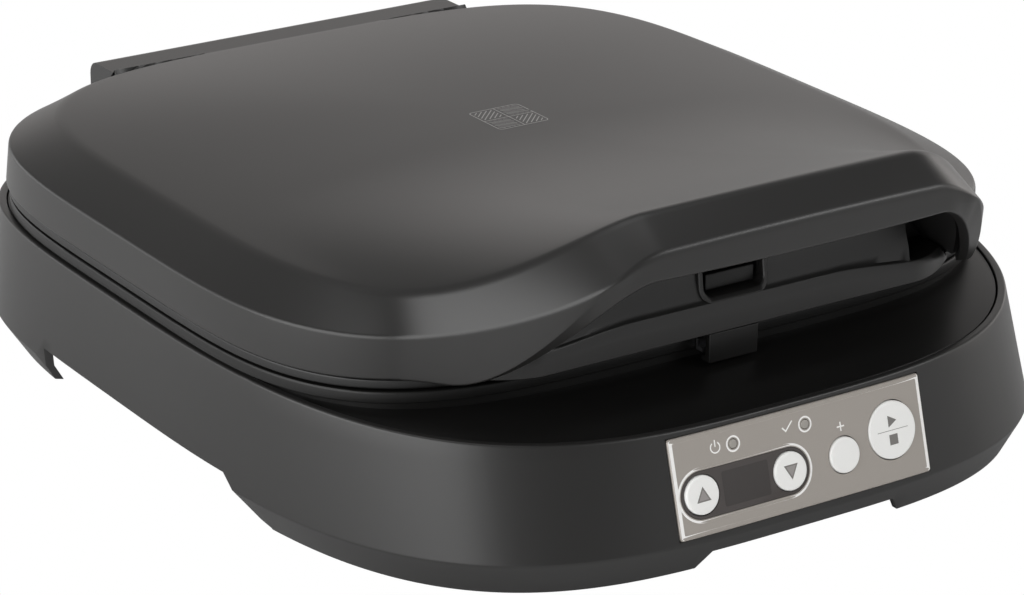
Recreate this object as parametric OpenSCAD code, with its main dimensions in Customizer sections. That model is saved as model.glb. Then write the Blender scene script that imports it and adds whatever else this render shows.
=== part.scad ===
// Four-slice countertop sandwich maker with a hinged lid, a latch and a sloped key panel.
// Units are millimetres. The origin is under the middle of the footprint, +Z is up and the key
// panel faces -Y. Outlines are measured from the centre of the lid, which lies behind the origin.

/* [Base] */
// How far the base stands beyond the lid at each side
side_step = 3.3; // [2:0.1:8]
// Base depth in front of the lid's centre
base_front = 215.5; // [208:0.5:235]
// Base depth behind the lid's centre
base_rear = 176; // [174:0.5:190]
// Height of the line where the skirt turns in
skirt_z = 14.5; // [12:0.1:17]
// Height of the base wall at the sides
wall_z = 59.3; // [57:0.1:66]
// Drop of the base wall at its front edge
front_drop = 5.4; // [3:0.1:7]
// Wall thickness of the base
base_wall = 3; // [2.4:0.1:3.6]
// Width in of the wall top at the sides
side_lean = 2.9; // [1:0.1:5]
// Width in of the wall top at the front
front_lean = 10.9; // [8:0.1:13]
// Width in of the wall top at the rear
rear_lean = 4; // [2:0.1:6]
// Width in of the skirt's foot line
foot_in = 8.5; // [6:0.5:11]
// Height of the skirt's foot line over the table
foot_z = 1.2; // [0.8:0.1:2]
// Height of the cut-outs between the corner feet
arch_z = 19.5; // [16:0.5:24]
// Height of the shallow cut-out at the front
front_arch_z = 8; // [6:0.5:10]

/* [Lid] */
// Width of the lid
lid_w = 330; // [322:0.5:336]
// Lid depth in front of its centre
lid_front = 163.6; // [160:0.2:168]
// Lid depth behind its centre
lid_rear = 161.8; // [158:0.2:164]
// Height of the upright lid wall
lid_wall_h = 16.8; // [14:0.2:20]
// Height of the slope round the top panel
slope_h = 10.3; // [8:0.1:13]
// Width of the slope round the top panel
slope_w = 20.9; // [16:0.1:25]
// Rise of the crowned top panel
crown = 9; // [4:0.5:11]
// Wall thickness of the lid
lid_wall = 2.6; // [2.2:0.1:3]
// Gap between the lid's frame and the base's rim
rim_gap = 1; // [0.8:0.1:1.6]

/* [Handle] */
// Height of the crest over the panel edge
crest_h = 37.9; // [34:0.1:42]
// How far the crest lies in front of the lid's centre
crest_y = 193.3; // [188:0.1:198]
// Height of the bar's front edge over the panel edge
bar_h = 29.6; // [26:0.1:32]
// How far the bar's front edge lies in front of the lid's centre
bar_y = 209; // [204:0.1:213]
// Height of the bar's front face
face_h = 13.3; // [11:0.1:15]
// Half of the straight length of the bar
bar_half = 75; // [68:0.5:78]
// Where the handle's arms run out on the lid, from the middle
arm_half = 131; // [124:0.5:134]
// Depth of the pocket wall behind the bar, from the lid's centre
pocket_y = 163; // [161.5:0.1:164]

/* [Plates] */
// Plate width left over at one side beyond the size of a square cavity
cavity_margin = 36; // [35:0.5:44]
// Land between neighbouring cavities
land = 8; // [7:0.5:9]
// Depth of each cavity
cavity_depth = 9.6; // [7:0.1:10.5]
// Sheet thickness of the cooking plates
plate_t = 3; // [2.5:0.1:3.4]
// Diameter of the tubular heating element
element_d = 6.4; // [5.6:0.1:7]

/* [Hinge and latch] */
// Hinge axis behind the lid's centre
hinge_y = 163; // [162:0.5:166]
// Hinge axis over the table
hinge_z = 68; // [67:0.5:70]
// Half width of the hinge barrel
barrel_half = 87; // [80:0.5:90]
// Diameter of the hinge pins
hinge_pin_d = 6; // [5:0.5:7]
// Running clearance of pins in their bores, on the radius
pin_gap = 0.05; // [0.03:0.01:0.1]
// Width of the latch lever
latch_w = 22; // [20:0.5:24]
// Diameter of the latch pin
latch_pin_d = 3; // [2.5:0.1:3.4]

/* [Key panel] */
// Width of the key panel
panel_w = 113; // [110:0.5:118]
// Height of the key panel
panel_h = 36.6; // [35:0.1:37.4]
// Height of the panel's top edge over the table
panel_z = 52; // [51.4:0.1:52.4]
// Thickness of the panel
panel_t = 3; // [2.6:0.1:3.2]
// Diameter of the start button
start_d = 21.5; // [19:0.5:22.5]
// Diameter of the more button
more_d = 13.3; // [12:0.1:14]
// Diameter of the two arrow buttons
arrow_d = 14.2; // [13:0.1:14.8]
// Height of the display window
window_h = 17; // [16:0.1:18]
// Travel of the buttons
travel = 1; // [0.6:0.1:1.2]
// Clearance round each button
button_gap = 0.4; // [0.35:0.05:0.5]

/* [Hidden] */

// Colours
body_grey = "#4c4b4a";
deck_black = "#2a2a29";
frame_black = "#222222";
plate_grey = "#3c3c3e";
steel = "#b9bcc0";
element_steel = "#7b7470";
panel_silver = "#968f88";
window_black = "#3f3a38";
button_white = "#ececea";
board_green = "#2f5a3a";
rubber_black = "#1b1b1b";
lamp_clear = "#d8d6d0";

// Small clearances
fit_gap = 0.3;
skin_gap = 0.2;
eps = 0.01;

// Exponents of the rounded outlines: 2 is an ellipse, higher is squarer
foot_n = 3.46;
skirt_n = 3.35;
wall_n = 3.16;
rear_n = 4.2;
lid_low_n = 4.37;
lid_mid_n = 3.97;
panel_n = 4.07;

// The lid's centre lies this far behind the origin, so the origin is mid-footprint
lid_cy = (base_front - base_rear) / 2;

// Levels
deck_sink = 0.7;
deck_t = 3;
cover_z = arch_z + 0.5;
cover_t = 2.5;
rim_z = wall_z + 5.4;
frame_z = rim_z + rim_gap;
frame_lip_h = 3.5;
lid_z = frame_z + frame_lip_h + fit_gap;
lid_crease_z = lid_z + lid_wall_h;
top_z = lid_crease_z + slope_h;
drop_start = 60;

// Outlines: half width, front depth, rear depth, front exponent, rear exponent
half_w = lid_w / 2 + side_step;
skirt_o = [half_w, base_front, base_rear, skirt_n, rear_n];
foot_o = [half_w - foot_in, base_front - foot_in * 0.75, base_rear - foot_in * 0.75, foot_n, rear_n];
wall_o = [half_w - side_lean, base_front - front_lean, base_rear - rear_lean, wall_n, rear_n];
lid_low_in = 5.2;
lid_low_rear_in = 2.9;
lid_mid_o = [lid_w / 2, lid_front, lid_rear, lid_mid_n, lid_mid_n];
lid_low_o = [lid_w / 2, lid_front - lid_low_in, lid_rear - lid_low_rear_in, lid_low_n, lid_low_n];
panel_front_in = 12.8;
panel_rear_in = 13.1;
top_o = [lid_w / 2 - slope_w, lid_front - panel_front_in, lid_rear - panel_rear_in, panel_n, panel_n];

function grow(o, d) = [o[0] + d, o[1] + d, o[2] + d, o[3], o[4]];
function mix(a, b, w) = a + (b - a) * w;
function clamp01(t) = min(1, max(0, t));
function smooth(t) = let (c = clamp01(t)) c * c * (3 - 2 * c);

// Stations along the front half of an outline: straight x steps, closer where the arms bend
arm_from = 60;
corner_x = 118;
corner_steps = 8;
rear_steps = 12;
function steps(lo, hi, n) = [for (i = [0:n - 1]) lo + (hi - lo) * i / n];
front_x = concat(steps(0, arm_from, 4), steps(arm_from, corner_x, 11));

function front_y(o, x) = -o[1] * pow(max(0, 1 - pow(abs(x) / o[0], o[3])), 1 / o[3]);
function corner_angle(o) = acos(pow(corner_x / o[0], o[3] / 2));
function half_ring(o) = concat(
    [for (x = front_x) [x, front_y(o, x)]],
    [for (i = [0:corner_steps - 1])
        let (t = corner_angle(o) * (1 - i / corner_steps))
        [o[0] * pow(cos(t), 2 / o[3]), -o[1] * pow(sin(t), 2 / o[3])]],
    [for (i = [0:rear_steps])
        let (t = 90 * i / rear_steps)
        [o[0] * pow(max(0, cos(t)), 2 / o[4]), o[2] * pow(sin(t), 2 / o[4])]]
);
function ring(o) = let (h = half_ring(o), m = len(h))
    concat(h, [for (i = [m - 2:-1:1]) [-h[i][0], h[i][1]]]);
ring_n = 2 * (len(front_x) + corner_steps + rear_steps);

function flat(o, z) = [for (p = ring(o)) [p[0], p[1], z]];

// The base wall's top edge dips towards the front
function wall_top(y) = wall_z - front_drop * pow(clamp01((-drop_start - y) / (half_w - drop_start + 36)), 2);
function dipped(o, dz) = [for (p = ring(o)) [p[0], p[1], wall_top(p[1]) + dz]];

// Handle curves: bar depth, bow, height, sag, then where depth and height leave the bar and
// where they reach the lid
bow = 3.5;
crest_c = [-crest_y, 3, top_z + crest_h, -1, bar_half - 15, 144 - slope_w / 20.9, bar_half - 19, arm_half - 1];
bar_c = [-bar_y, bow, top_z + bar_h, -2.5, bar_half, arm_half, bar_half - 15, arm_half];
edge_c = [-bar_y, bow, top_z + bar_h - 1.8, -2.5, bar_half, arm_half, bar_half - 5, arm_half - 13];
under_c = [1 - bar_y, bow - 0.5, top_z + bar_h - face_h, 0, bar_half - 9, arm_half + 2,
    bar_half - 11, arm_half - 13];

function inset_c(c, t, dz) = [c[0] + t, c[1], c[2] - dz, c[3], c[4] - t, c[5] - t, c[6] - t, c[7] - t];
function bar_part(x, from, to) = 1 - smooth((abs(x) - from) / (to - from));
function sag(x) = pow(min(abs(x), bar_half) / bar_half, 2);
function curve_y(y, x, c) = mix(y, c[0] + c[1] * sag(x), bar_part(x, c[4], c[5]));
function curve_z(z, x, c) = mix(z, c[2] + c[3] * sag(x), bar_part(x, c[6], c[7]));
function swept(o, z, c) = [for (p = ring(o))
    p[1] < 0 && abs(p[0]) < c[5] ? [p[0], curve_y(p[1], p[0], c), curve_z(z, p[0], c)] : [p[0], p[1], z]];
function below(upper, r, d) = [for (i = [0:len(r) - 1]) [r[i][0], r[i][1], min(r[i][2], upper[i][2] - d)]];

// Crowned panel rings, from the crest line in to the centre. The panel climbs to the crest of
// the handle along y, by the height that the crest has at the same x.
crown_power = 2.5;
climb_from = 30;
climb_power = 2;
function climb(x, y) = let (
        reach = -curve_y(front_y(top_o, min(abs(x), top_o[0])), x, crest_c),
        t = clamp01((-y - climb_from) / (reach - climb_from)))
    (curve_z(top_z, x, crest_c) - top_z) * pow(t, climb_power);
function crowned(r, f, drop) = [for (p = r) let (x = p[0] * f, y = p[1] * f)
    [x, y, top_z + crown * (1 - pow(f, crown_power)) + climb(x, y) - drop]];

// Skins between rings of the same count, which run anticlockwise seen from above
function band(i, j, n) = [for (k = [0:n - 1]) each [
    [i * n + k, j * n + (k + 1) % n, i * n + (k + 1) % n],
    [i * n + k, j * n + k, j * n + (k + 1) % n]]];

// A closed loop of rings, as a wall with an inside and an outside
module ring_loop(rings) {
    m = len(rings);
    n = len(rings[0]);
    polyhedron(
        points = [for (r = rings) each r],
        faces = [for (i = [0:m - 1]) each band(i, (i + 1) % m, n)]
    );
}

// A skin over rings that starts and ends at a single point on the middle line
module ring_skin(rings, first, last) {
    m = len(rings);
    n = len(rings[0]);
    polyhedron(
        points = concat([for (r = rings) each r], [first, last]),
        faces = concat(
            [for (i = [0:m - 2]) each band(i, i + 1, n)],
            [for (k = [0:n - 1]) [m * n, k, (k + 1) % n]],
            [for (k = [0:n - 1]) [m * n + 1, (m - 1) * n + (k + 1) % n, (m - 1) * n + k]]
        )
    );
}

// A flat plate with a rounded outline
module slab(o, z, h) {
    translate([0, 0, z])
        linear_extrude(height = h)
            polygon(ring(o));
}

// Puts a shape into the lid-centred frame
module at_lid() {
    translate([0, lid_cy, 0]) children();
}

module x_rod(r, x0, x1, y, z) {
    translate([x0, y, z])
        rotate([0, 90, 0])
            cylinder(r = r, h = x1 - x0, $fn = 48);
}

module block(x0, x1, y0, y1, z0, z1) {
    translate([x0, y0, z0]) cube([x1 - x0, y1 - y0, z1 - z0]);
}

module mirrored() {
    children();
    mirror([1, 0, 0]) children();
}

// Base

// Rear opening in the wall and deck, for the barrel and its brackets
barrel_r = 11;
bracket_t = 4;
bracket_gap = 3;
notch_half = barrel_half + bracket_gap + bracket_t + 2.5;
notch_y = hinge_y - barrel_r - 1.5;
notch_z = hinge_z - barrel_r - 1.5;
module rear_notch() {
    block(-notch_half, notch_half, notch_y, base_rear + 5, notch_z, rim_z + 5);
}

// Skirt cut-outs: straight middle with sloped ends
arch_front = 81;
arch_rear = 62;
arch_slope = 19;
front_arch_half = 41;
front_arch_slope = 6;
module side_arch() {
    translate([0, 0, -eps])
        rotate([90, 0, 90])
            linear_extrude(height = 2 * half_w, center = true)
                polygon([
                    [-arch_front - arch_slope, 0], [-arch_front, arch_z],
                    [arch_rear, arch_z], [arch_rear + arch_slope / 2, 0]]);
}
module front_arch() {
    translate([0, -base_front / 2, -eps])
        rotate([90, 0, 0])
            linear_extrude(height = base_front)
                polygon([
                    [-front_arch_half - front_arch_slope, 0], [-front_arch_half, front_arch_z],
                    [front_arch_half, front_arch_z], [front_arch_half + front_arch_slope, 0]]);
}

// The key panel's frame: x to the right, v down the wall and w out of it
panel_lean = atan(front_lean / (wall_z - front_drop - skirt_z));
panel_top_y = -base_front + front_lean - front_lean * (wall_z - front_drop - panel_z)
    / (wall_z - front_drop - skirt_z);
module on_panel(x, v, w) {
    translate([0, panel_top_y, panel_z])
        rotate([90 - panel_lean, 0, 0])
            translate([x, -v, w]) children();
}
module panel_prism(w, h, inset, w0, w1) {
    on_panel(0, h / 2 + inset, w0)
        translate([-w / 2, -h / 2, 0])
            cube([w, h, w1 - w0]);
}
// Wall skin between two depths, measured from the outside of the wall
module wall_band(out, in) {
    ring_loop([
        flat(grow(skirt_o, out), skirt_z), dipped(grow(wall_o, out), 0),
        dipped(grow(wall_o, -in), 0), flat(grow(skirt_o, -in), skirt_z)]);
}

gland_x = -62;
gland_z = 38.6;
gland_r = 9;
gland_bore_r = 3.9;
module gland_hole(r) {
    translate([gland_x, base_rear - 30, gland_z])
        rotate([-90, 0, 0])
            cylinder(r = r, h = 40, $fn = 64);
}

seat = -deck_sink - deck_t;
seat_w = 3;
inner_o = grow(wall_o, -base_wall);
low_o = grow(skirt_o, -base_wall);
module base_shell() {
    color(body_grey) at_lid() difference() {
        ring_loop([
            flat(foot_o, foot_z), flat(skirt_o, skirt_z), dipped(wall_o, 0), dipped(inner_o, 0),
            dipped(inner_o, seat - 0.1), dipped(grow(inner_o, -seat_w), seat - 0.1),
            dipped(grow(inner_o, -seat_w), seat - 2), dipped(inner_o, seat - 5),
            flat(grow(low_o, -0.6), cover_z + cover_t + 4.5),
            flat(grow(low_o, -seat_w - 1.5), cover_z + cover_t + 2),
            flat(grow(low_o, -seat_w - 1.5), cover_z + cover_t), flat(low_o, cover_z + cover_t),
            flat(low_o, skirt_z), flat(grow(foot_o, -base_wall), foot_z)]);
        side_arch();
        front_arch();
        rear_notch();
        panel_prism(panel_w + 2 * fit_gap, panel_h + 2 * fit_gap, -fit_gap, -12, 12);
        panel_prism(panel_w + 10, panel_h + 2, -1, -12, -base_wall - 1.9);
        block(-notch_half, notch_half, notch_y, notch_y + 13.4, notch_z - 16, notch_z + 1);
        gland_hole(gland_r + fit_gap);
    }
}

// Deck: the black top of the base. The bezel stands on it and holds the lower plate; its raised
// rim is what the lid closes on.
plate_o = grow([lid_low_o[0] - 13, lid_low_o[1] - 12.4, lid_low_o[2] - 12.4, lid_low_n, lid_low_n], 0);
rim_o = grow(lid_low_o, -1);
ledge_in = 6;
ledge_z = rim_z - 4.7;
ledge_wall = 2.5;
post_in = 42.3;
post_x = half_w - post_in;
post_y = 142;
post_r = 4.5;
screw_r = 1.7;
screw_l = 14;
bezel_h = 9;
boss_r = 4;
module post_places() {
    mirrored() {
        for (y = [-post_y, post_y])
            translate([post_x, y, 0]) children();
    }
}

deck_in_o = grow(rim_o, -12);
rim_in_o = grow(rim_o, -2.5);
post_sink = 2.5;
post_sink_front = 4.2;

module base_deck() {
    edge_o = grow(inner_o, -fit_gap);
    color(deck_black) at_lid() {
        difference() {
            union() {
                ring_loop([
                    dipped(edge_o, seat), dipped(edge_o, -deck_sink), dipped(rim_in_o, -deck_sink),
                    dipped(deck_in_o, -deck_sink), dipped(deck_in_o, seat)]);
                mirrored() for (y = [-post_y, post_y])
                    translate([post_x, y, cover_z + cover_t])
                        cylinder(r = post_r,
                            h = wall_z - (y < 0 ? post_sink_front : post_sink) - cover_z - cover_t, $fn = 40);
            }
            rear_notch();
            post_places()
                translate([0, 0, cover_z]) cylinder(r = screw_r + 0.1, h = cover_t + screw_l, $fn = 32);
        }
    }
}

module plate_bezel() {
    lip_z = wall_z + 0.9;
    drop_z = ledge_z - bezel_h;
    color(deck_black) at_lid() {
        difference() {
            union() {
                ring_loop([
                    dipped(rim_in_o, -deck_sink), flat(rim_in_o, lip_z), flat(rim_o, lip_z),
                    flat(rim_o, rim_z), flat(grow(plate_o, fit_gap), rim_z),
                    flat(grow(plate_o, fit_gap), ledge_z), flat(grow(plate_o, -ledge_in), ledge_z),
                    flat(grow(plate_o, -ledge_in), drop_z),
                    flat(grow(plate_o, ledge_wall - ledge_in), drop_z),
                    flat(grow(plate_o, ledge_wall - ledge_in), ledge_z - deck_t),
                    flat(deck_in_o, ledge_z - deck_t), dipped(deck_in_o, -deck_sink)]);
                plate_screw_places()
                    translate([0, 0, drop_z]) cylinder(r = boss_r, h = bezel_h, $fn = 40);
            }
            rear_notch();
            plate_screw_places()
                translate([0, 0, ledge_z - bezel_h + 1]) cylinder(r = 1.9, h = bezel_h, $fn = 32);
        }
    }
}

// Bottom cover with its screw sleeves, board studs and foot sockets
foot_front_in = 60.3;
foot_front_x = half_w - foot_front_in;
foot_front = 165;
foot_rear_in = 50.3;
foot_rear_x = half_w - foot_rear_in;
foot_rear = 126;
foot_r = 9.5;
foot_h = 5;
pillar_r = 11.5;
foot_stem_r = 3;
stud_r = 3;
stud_h = 4;
tower_h = 17.5;
pan_h = 9.5;
pan_half = 66;
pan_y = 190;
vent_w = 3;
vent_l = 46;
vent_n = 7;
vent_pitch = 8;
board_x0 = -118;
board_x1 = -30;
board_y0 = 40;
board_y1 = 118;
stud_in = 6;
module foot_places() {
    mirrored() {
        translate([foot_front_x, -foot_front, 0]) children();
        translate([foot_rear_x, foot_rear, 0]) children();
    }
}
module board_corners() {
    for (x = [board_x0 + stud_in, board_x1 - stud_in], y = [board_y0 + stud_in, board_y1 - stud_in])
        translate([x, y, 0]) children();
}
cover_o = grow(low_o, -0.8);
// The cover carries the feet on pillars, the power board on studs and the hinge on towers
module base_cover() {
    in = bracket_x - 14;
    color(deck_black) at_lid() difference() {
        union() {
            slab(cover_o, cover_z, cover_t);
            foot_places()
                translate([0, 0, foot_h])
                    cylinder(r = pillar_r, h = cover_z - foot_h + eps, $fn = 64);
            board_corners()
                translate([0, 0, cover_z])
                    cylinder(r = stud_r, h = cover_t + stud_h, $fn = 32);
            mirrored()
                block(in, bracket_x + bracket_t, hinge_y - 13, hinge_y - 2,
                    cover_z, cover_z + cover_t + tower_h);
            // Pan under the key panel
            intersection() {
                slab(foot_o, cover_z - pan_h, pan_h + cover_t);
                block(-pan_half, pan_half, -base_front, -pan_y, 0, rim_z);
            }
        }
        intersection() {
            slab(grow(foot_o, -2), cover_z - pan_h + 2, pan_h + cover_t);
            block(-pan_half + 2, pan_half - 2, -base_front, -pan_y - 2, 0, rim_z);
        }
        block(-pan_half + 2, pan_half - 2, -base_front, -pan_y - 12, cover_z - 4, rim_z);
        foot_places() {
            translate([0, 0, foot_h + 3])
                cylinder(r = pillar_r - 2.5, h = cover_z + cover_t, $fn = 64);
            cylinder(r = foot_stem_r + skin_gap, h = cover_z, $fn = 32);
        }
        post_places()
            translate([0, 0, cover_z - 1])
                cylinder(r = screw_r + skin_gap, h = cover_t + 2, $fn = 32);
        board_corners()
            translate([0, 0, cover_z + cover_t])
                cylinder(r = 1.3, h = stud_h + 1, $fn = 24);
        mirrored()
            for (i = [0:vent_n - 1])
                translate([30, -105 + i * vent_pitch, cover_z - 1])
                    cube([vent_l, vent_w, cover_t + 2]);
    }
}

module rubber_feet() {
    color(rubber_black) at_lid() foot_places() {
        cylinder(r1 = foot_r - 1, r2 = foot_r, h = foot_h, $fn = 64);
        translate([0, 0, foot_h - eps])
            cylinder(r = foot_stem_r, h = 3.4, $fn = 32);
        translate([0, 0, foot_h + 3.3])
            cylinder(r1 = foot_stem_r + 1, r2 = foot_stem_r - 0.5, h = 3, $fn = 32);
    }
}

// A pan-head screw that points up
module screw(r, len, head_r, head_h) {
    difference() {
        union() {
            translate([0, 0, -eps]) cylinder(r = r, h = len + eps, $fn = 32);
            translate([0, 0, -head_h]) cylinder(r = head_r, h = head_h, $fn = 40);
        }
        translate([-head_r, -0.4, -head_h - eps]) cube([2 * head_r, 0.8, 0.8]);
    }
}

module cover_screws() {
    color(steel) at_lid() post_places()
        translate([0, 0, cover_z]) screw(screw_r, screw_l, 3.2, 2);
}

// Cooking plates: each square cavity is cut in two triangular pockets by a sealing ridge

ridge = 4.6;
taper = 5;
corner_r = 7;
cavity = plate_o[0] - cavity_margin;
cell = cavity + land;
// Rounded triangular pocket outline, in the lower-left half of a cavity
function arc(cx, cy, r, a0, a1, n) = [for (i = [0:n]) let (a = mix(a0, a1, i / n)) [cx + r * cos(a), cy + r * sin(a)]];
function pocket(grown) = let (
        r = corner_r + grown,
        lo = corner_r - cavity / 2,
        far = -lo - corner_r * sqrt(2) - ridge / sqrt(2))
    concat(
        arc(lo, lo, r, 180, 270, 4),
        arc(far, lo, r, 270, 405, 5),
        arc(lo, far, r, 45, 180, 5)
    );
// Tapered pocket: the mouth at z = 0 and the floor at z = -depth
module pocket_solid(grown, depth, top) {
    mouth = pocket(grown);
    floor_r = pocket(grown - taper);
    n = len(mouth);
    polyhedron(
        points = concat(
            [for (p = floor_r) [p[0], p[1], -depth]],
            [for (p = mouth) [p[0], p[1], 0]],
            [for (p = mouth) [p[0], p[1], top]]),
        faces = concat(
            [[for (i = [0:n - 1]) i]],
            [[for (i = [n - 1:-1:0]) 2 * n + i]],
            band(0, 1, n),
            band(1, 2, n))
    );
}
module pockets(grown, depth, top) {
    for (sx = [-1, 1], sy = [-1, 1])
        translate([sx * cell / 2, sy * cell / 2, 0])
            for (turn = [0, 180])
                rotate([0, 0, turn + (sx * sy > 0 ? 0 : 90)])
                    pocket_solid(grown, depth, top);
}
slab_t = 4.2;
plate_floor_t = plate_t;
lower_plate_z = ledge_z + slab_t;
plate_screw_in = 8.5;
plate_screw_x = plate_o[0] - plate_screw_in;
plate_screw_y = 62;
module plate_screw_places() {
    mirrored()
        for (y = [-plate_screw_y, plate_screw_y])
            translate([plate_screw_x, y, 0]) children();
}
// A cooking plate with its mouths up and its slab's top at z = 0
module cooking_plate() {
    difference() {
        union() {
            slab(plate_o, -slab_t, slab_t);
            translate([0, 0, -slab_t - eps])
                pockets(plate_floor_t, cavity_depth + plate_floor_t - slab_t, 1);
        }
        pockets(0, cavity_depth, 1);
        plate_screw_places()
            translate([0, 0, -slab_t - 1])
                cylinder(r = 2, h = slab_t + 2, $fn = 32);
    }
}
module lower_cooking_plate() {
    color(plate_grey) at_lid() translate([0, 0, lower_plate_z]) cooking_plate();
}

// Screws that hold a plate to its ledge, heads on the cooking side
module plate_screws(z, up) {
    at_lid() plate_screw_places()
        translate([0, 0, z])
            rotate([up ? 0 : 180, 0, 0])
                screw(1.8, slab_t + 6, 3, 0.7);
}

// The plates' undersides and what lies below them
boss_z = lower_plate_z - cavity_depth - plate_floor_t;
element_r = element_d / 2;
element_gap = 0.1;
element_in = 56;
element_x = plate_o[0] - element_in;
element_front = 96;
element_rear = 104;
element_bend = 16;
// Tubular element: a loop open at the rear, with its cold ends turned towards the middle
module element(z) {
    translate([0, 0, z]) mirrored() {
        rotate([0, 90, 0])
            translate([0, -element_front, 0])
                cylinder(r = element_r, h = element_x - element_bend, $fn = 32);
        translate([element_x - element_bend, -element_front + element_bend, 0])
            rotate([0, 0, -90])
                rotate_extrude(angle = 90, $fn = 64)
                    translate([element_bend, 0]) circle(r = element_r, $fn = 32);
        translate([element_x, -element_front + element_bend, 0])
            rotate([-90, 0, 0])
                cylinder(r = element_r, h = element_front + element_rear - 2 * element_bend, $fn = 32);
        translate([element_x - element_bend, element_rear - element_bend, 0])
            rotate_extrude(angle = 90, $fn = 64)
                translate([element_bend, 0]) circle(r = element_r, $fn = 32);
        translate([14, element_rear, 0])
            rotate([0, 90, 0])
                cylinder(r = element_r, h = element_x - element_bend - 14, $fn = 32);
        translate([8, element_rear, 0])
            rotate([0, 90, 0])
                cylinder(r = 1.2, h = 6 + eps, $fn = 24);
    }
}
lower_element_z = boss_z - element_gap - element_r;
module lower_heating_element() {
    color(element_steel) at_lid() element(lower_element_z);
}

shield_t = 0.8;
shield_in = 18;
shield_o = [plate_o[0] - shield_in, 116, 120, panel_n, panel_n];
lower_shield_z = lower_element_z - element_r - element_gap - shield_t;
module lower_heat_shield() {
    color(steel) at_lid() difference() {
        slab(shield_o, lower_shield_z, shield_t);
        shield_post_places()
            translate([0, 0, lower_shield_z - 1]) cylinder(r = 1.7, h = 3, $fn = 24);
    }
}
// Posts outside the cavities carry the shields
shield_post_in = 22.5;
shield_post_x = plate_o[0] - shield_post_in;
shield_post_y = 40;
module shield_post_places() {
    mirrored()
        for (y = [-shield_post_y, shield_post_y])
            translate([shield_post_x, y, 0]) children();
}
module shield_post(from, to) {
    translate([0, 0, min(from, to)])
        cylinder(r = 3, h = abs(to - from), $fn = 32);
}
module lower_shield_posts() {
    color(steel) at_lid() shield_post_places()
        shield_post(lower_shield_z + shield_t, ledge_z);
}

sensor_r = 5;
sensor_h = 7;
module lower_sensor() {
    color(steel) at_lid() translate([0, 0, ledge_z - sensor_h])
        cylinder(r = sensor_r, h = sensor_h, $fn = 40);
}

// Power board with its relay, filter and terminal block
board_t = 1.6;
board_z = cover_z + cover_t + stud_h;
module power_board() {
    color(board_green) at_lid() difference() {
        union() {
            block(board_x0, board_x1, board_y0, board_y1, board_z, board_z + board_t);
            block(-106, -88, 60, 76, board_z + board_t - eps, board_z + 13);
            block(-80, -56, 56, 80, board_z + board_t - eps, board_z + 12);
            block(-112, -50, 96, 106, board_z + board_t - eps, board_z + 10);
            translate([-44, 66, board_z + board_t - eps]) cylinder(r = 5, h = 12, $fn = 40);
            translate([-44, 84, board_z + board_t - eps]) cylinder(r = 5, h = 12, $fn = 40);
        }
        board_corners() translate([0, 0, board_z - 1]) cylinder(r = 1.6, h = 4, $fn = 24);
    }
}
module board_screws() {
    color(steel) at_lid() board_corners()
        translate([0, 0, board_z + board_t])
            rotate([180, 0, 0])
                screw(1.2, 5, 2.4, 1.4);
}

// Gland in the rear wall that the mains lead passes through
gland_l = 15;
gland_clip = 7.2;
gland_face_y = base_rear - 1.05;
module cord_gland() {
    color(rubber_black) at_lid()
        translate([gland_x, gland_face_y, gland_z])
            rotate([90, 0, 0])
                rotate_extrude($fn = 96)
                    polygon([
                        [gland_bore_r, -1], [gland_r + 2, -1], [gland_r + 2, 0], [gland_r, 0],
                        [gland_r, gland_clip], [gland_r + 2, gland_clip],
                        [gland_r + 2, gland_clip + 2.3], [gland_r - 1, gland_clip + 2.3],
                        [gland_r - 1, gland_l], [gland_bore_r, gland_l]]);
}

// Key panel

panel_out = 0.7;
start_p = [40.2, 17.6];
more_p = [17.3, 21.7];
down_p = [-7.4, 22];
up_p = [-45.6, 22];
power_p = [-30, 6.9];
ready_p = [1.8, 6.9];
lamp_r = 1.7;
flange = 1.5;
board_w = -12;
switch_h = 3;

// How far the curved wall falls back from its middle at x
function fall(x) = -(front_y(wall_o, 0) - front_y(wall_o, x)) ;

module pill(p0, p1, r, w0, w1) {
    on_panel(0, 0, w0) linear_extrude(height = w1 - w0)
        union() {
            translate([p0[0], -p0[1]]) circle(r = r, $fn = 64);
            translate([p1[0], -p1[1]]) circle(r = r, $fn = 64);
            translate([min(p0[0], p1[0]), -p0[1] - r]) square([abs(p1[0] - p0[0]), 2 * r]);
        }
}
module button_hole(p, d) {
    on_panel(p[0], p[1], -10) cylinder(r = d / 2 + button_gap, h = 20, $fn = 64);
}
flange_in = 4.6;
module side_strips(reach) {
    for (side = [-1, 1])
        intersection() {
            panel_prism(2 * reach, panel_h, 0, -10, 10);
            on_panel(side * (panel_w / 2 - 3 + 15), panel_h / 2, 0) cube([30, panel_h, 30], center = true);
        }
}
module panel_fascia() {
    color(panel_silver) at_lid() {
        difference() {
            union() {
                intersection() {
                    wall_band(panel_out, panel_t - panel_out);
                    panel_prism(panel_w, panel_h, 0, -10, 10);
                }
                // Thick side strips, then flanges that catch behind the wall
                intersection() {
                    wall_band(-1.5, flange_in);
                    side_strips(panel_w / 2);
                }
                intersection() {
                    wall_band(-base_wall - 0.05, flange_in);
                    side_strips(panel_w / 2 + 4);
                }
            }
            pill(up_p, down_p, window_h / 2 + skin_gap, -10, 10);
            button_hole(start_p, start_d);
            button_hole(more_p, more_d);
            on_panel(power_p[0], power_p[1], -10) cylinder(r = lamp_r + skin_gap, h = 20, $fn = 32);
            on_panel(ready_p[0], ready_p[1], -10) cylinder(r = lamp_r + skin_gap, h = 20, $fn = 32);
        }
        for (x = [-panel_w / 2 + 4, panel_w / 2 - 4], v = [4, panel_h - 4])
            on_panel(x, v, board_w) cylinder(r = 2, h = -board_w - fall(x) - panel_t + 0.2, $fn = 24);
    }
}

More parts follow.
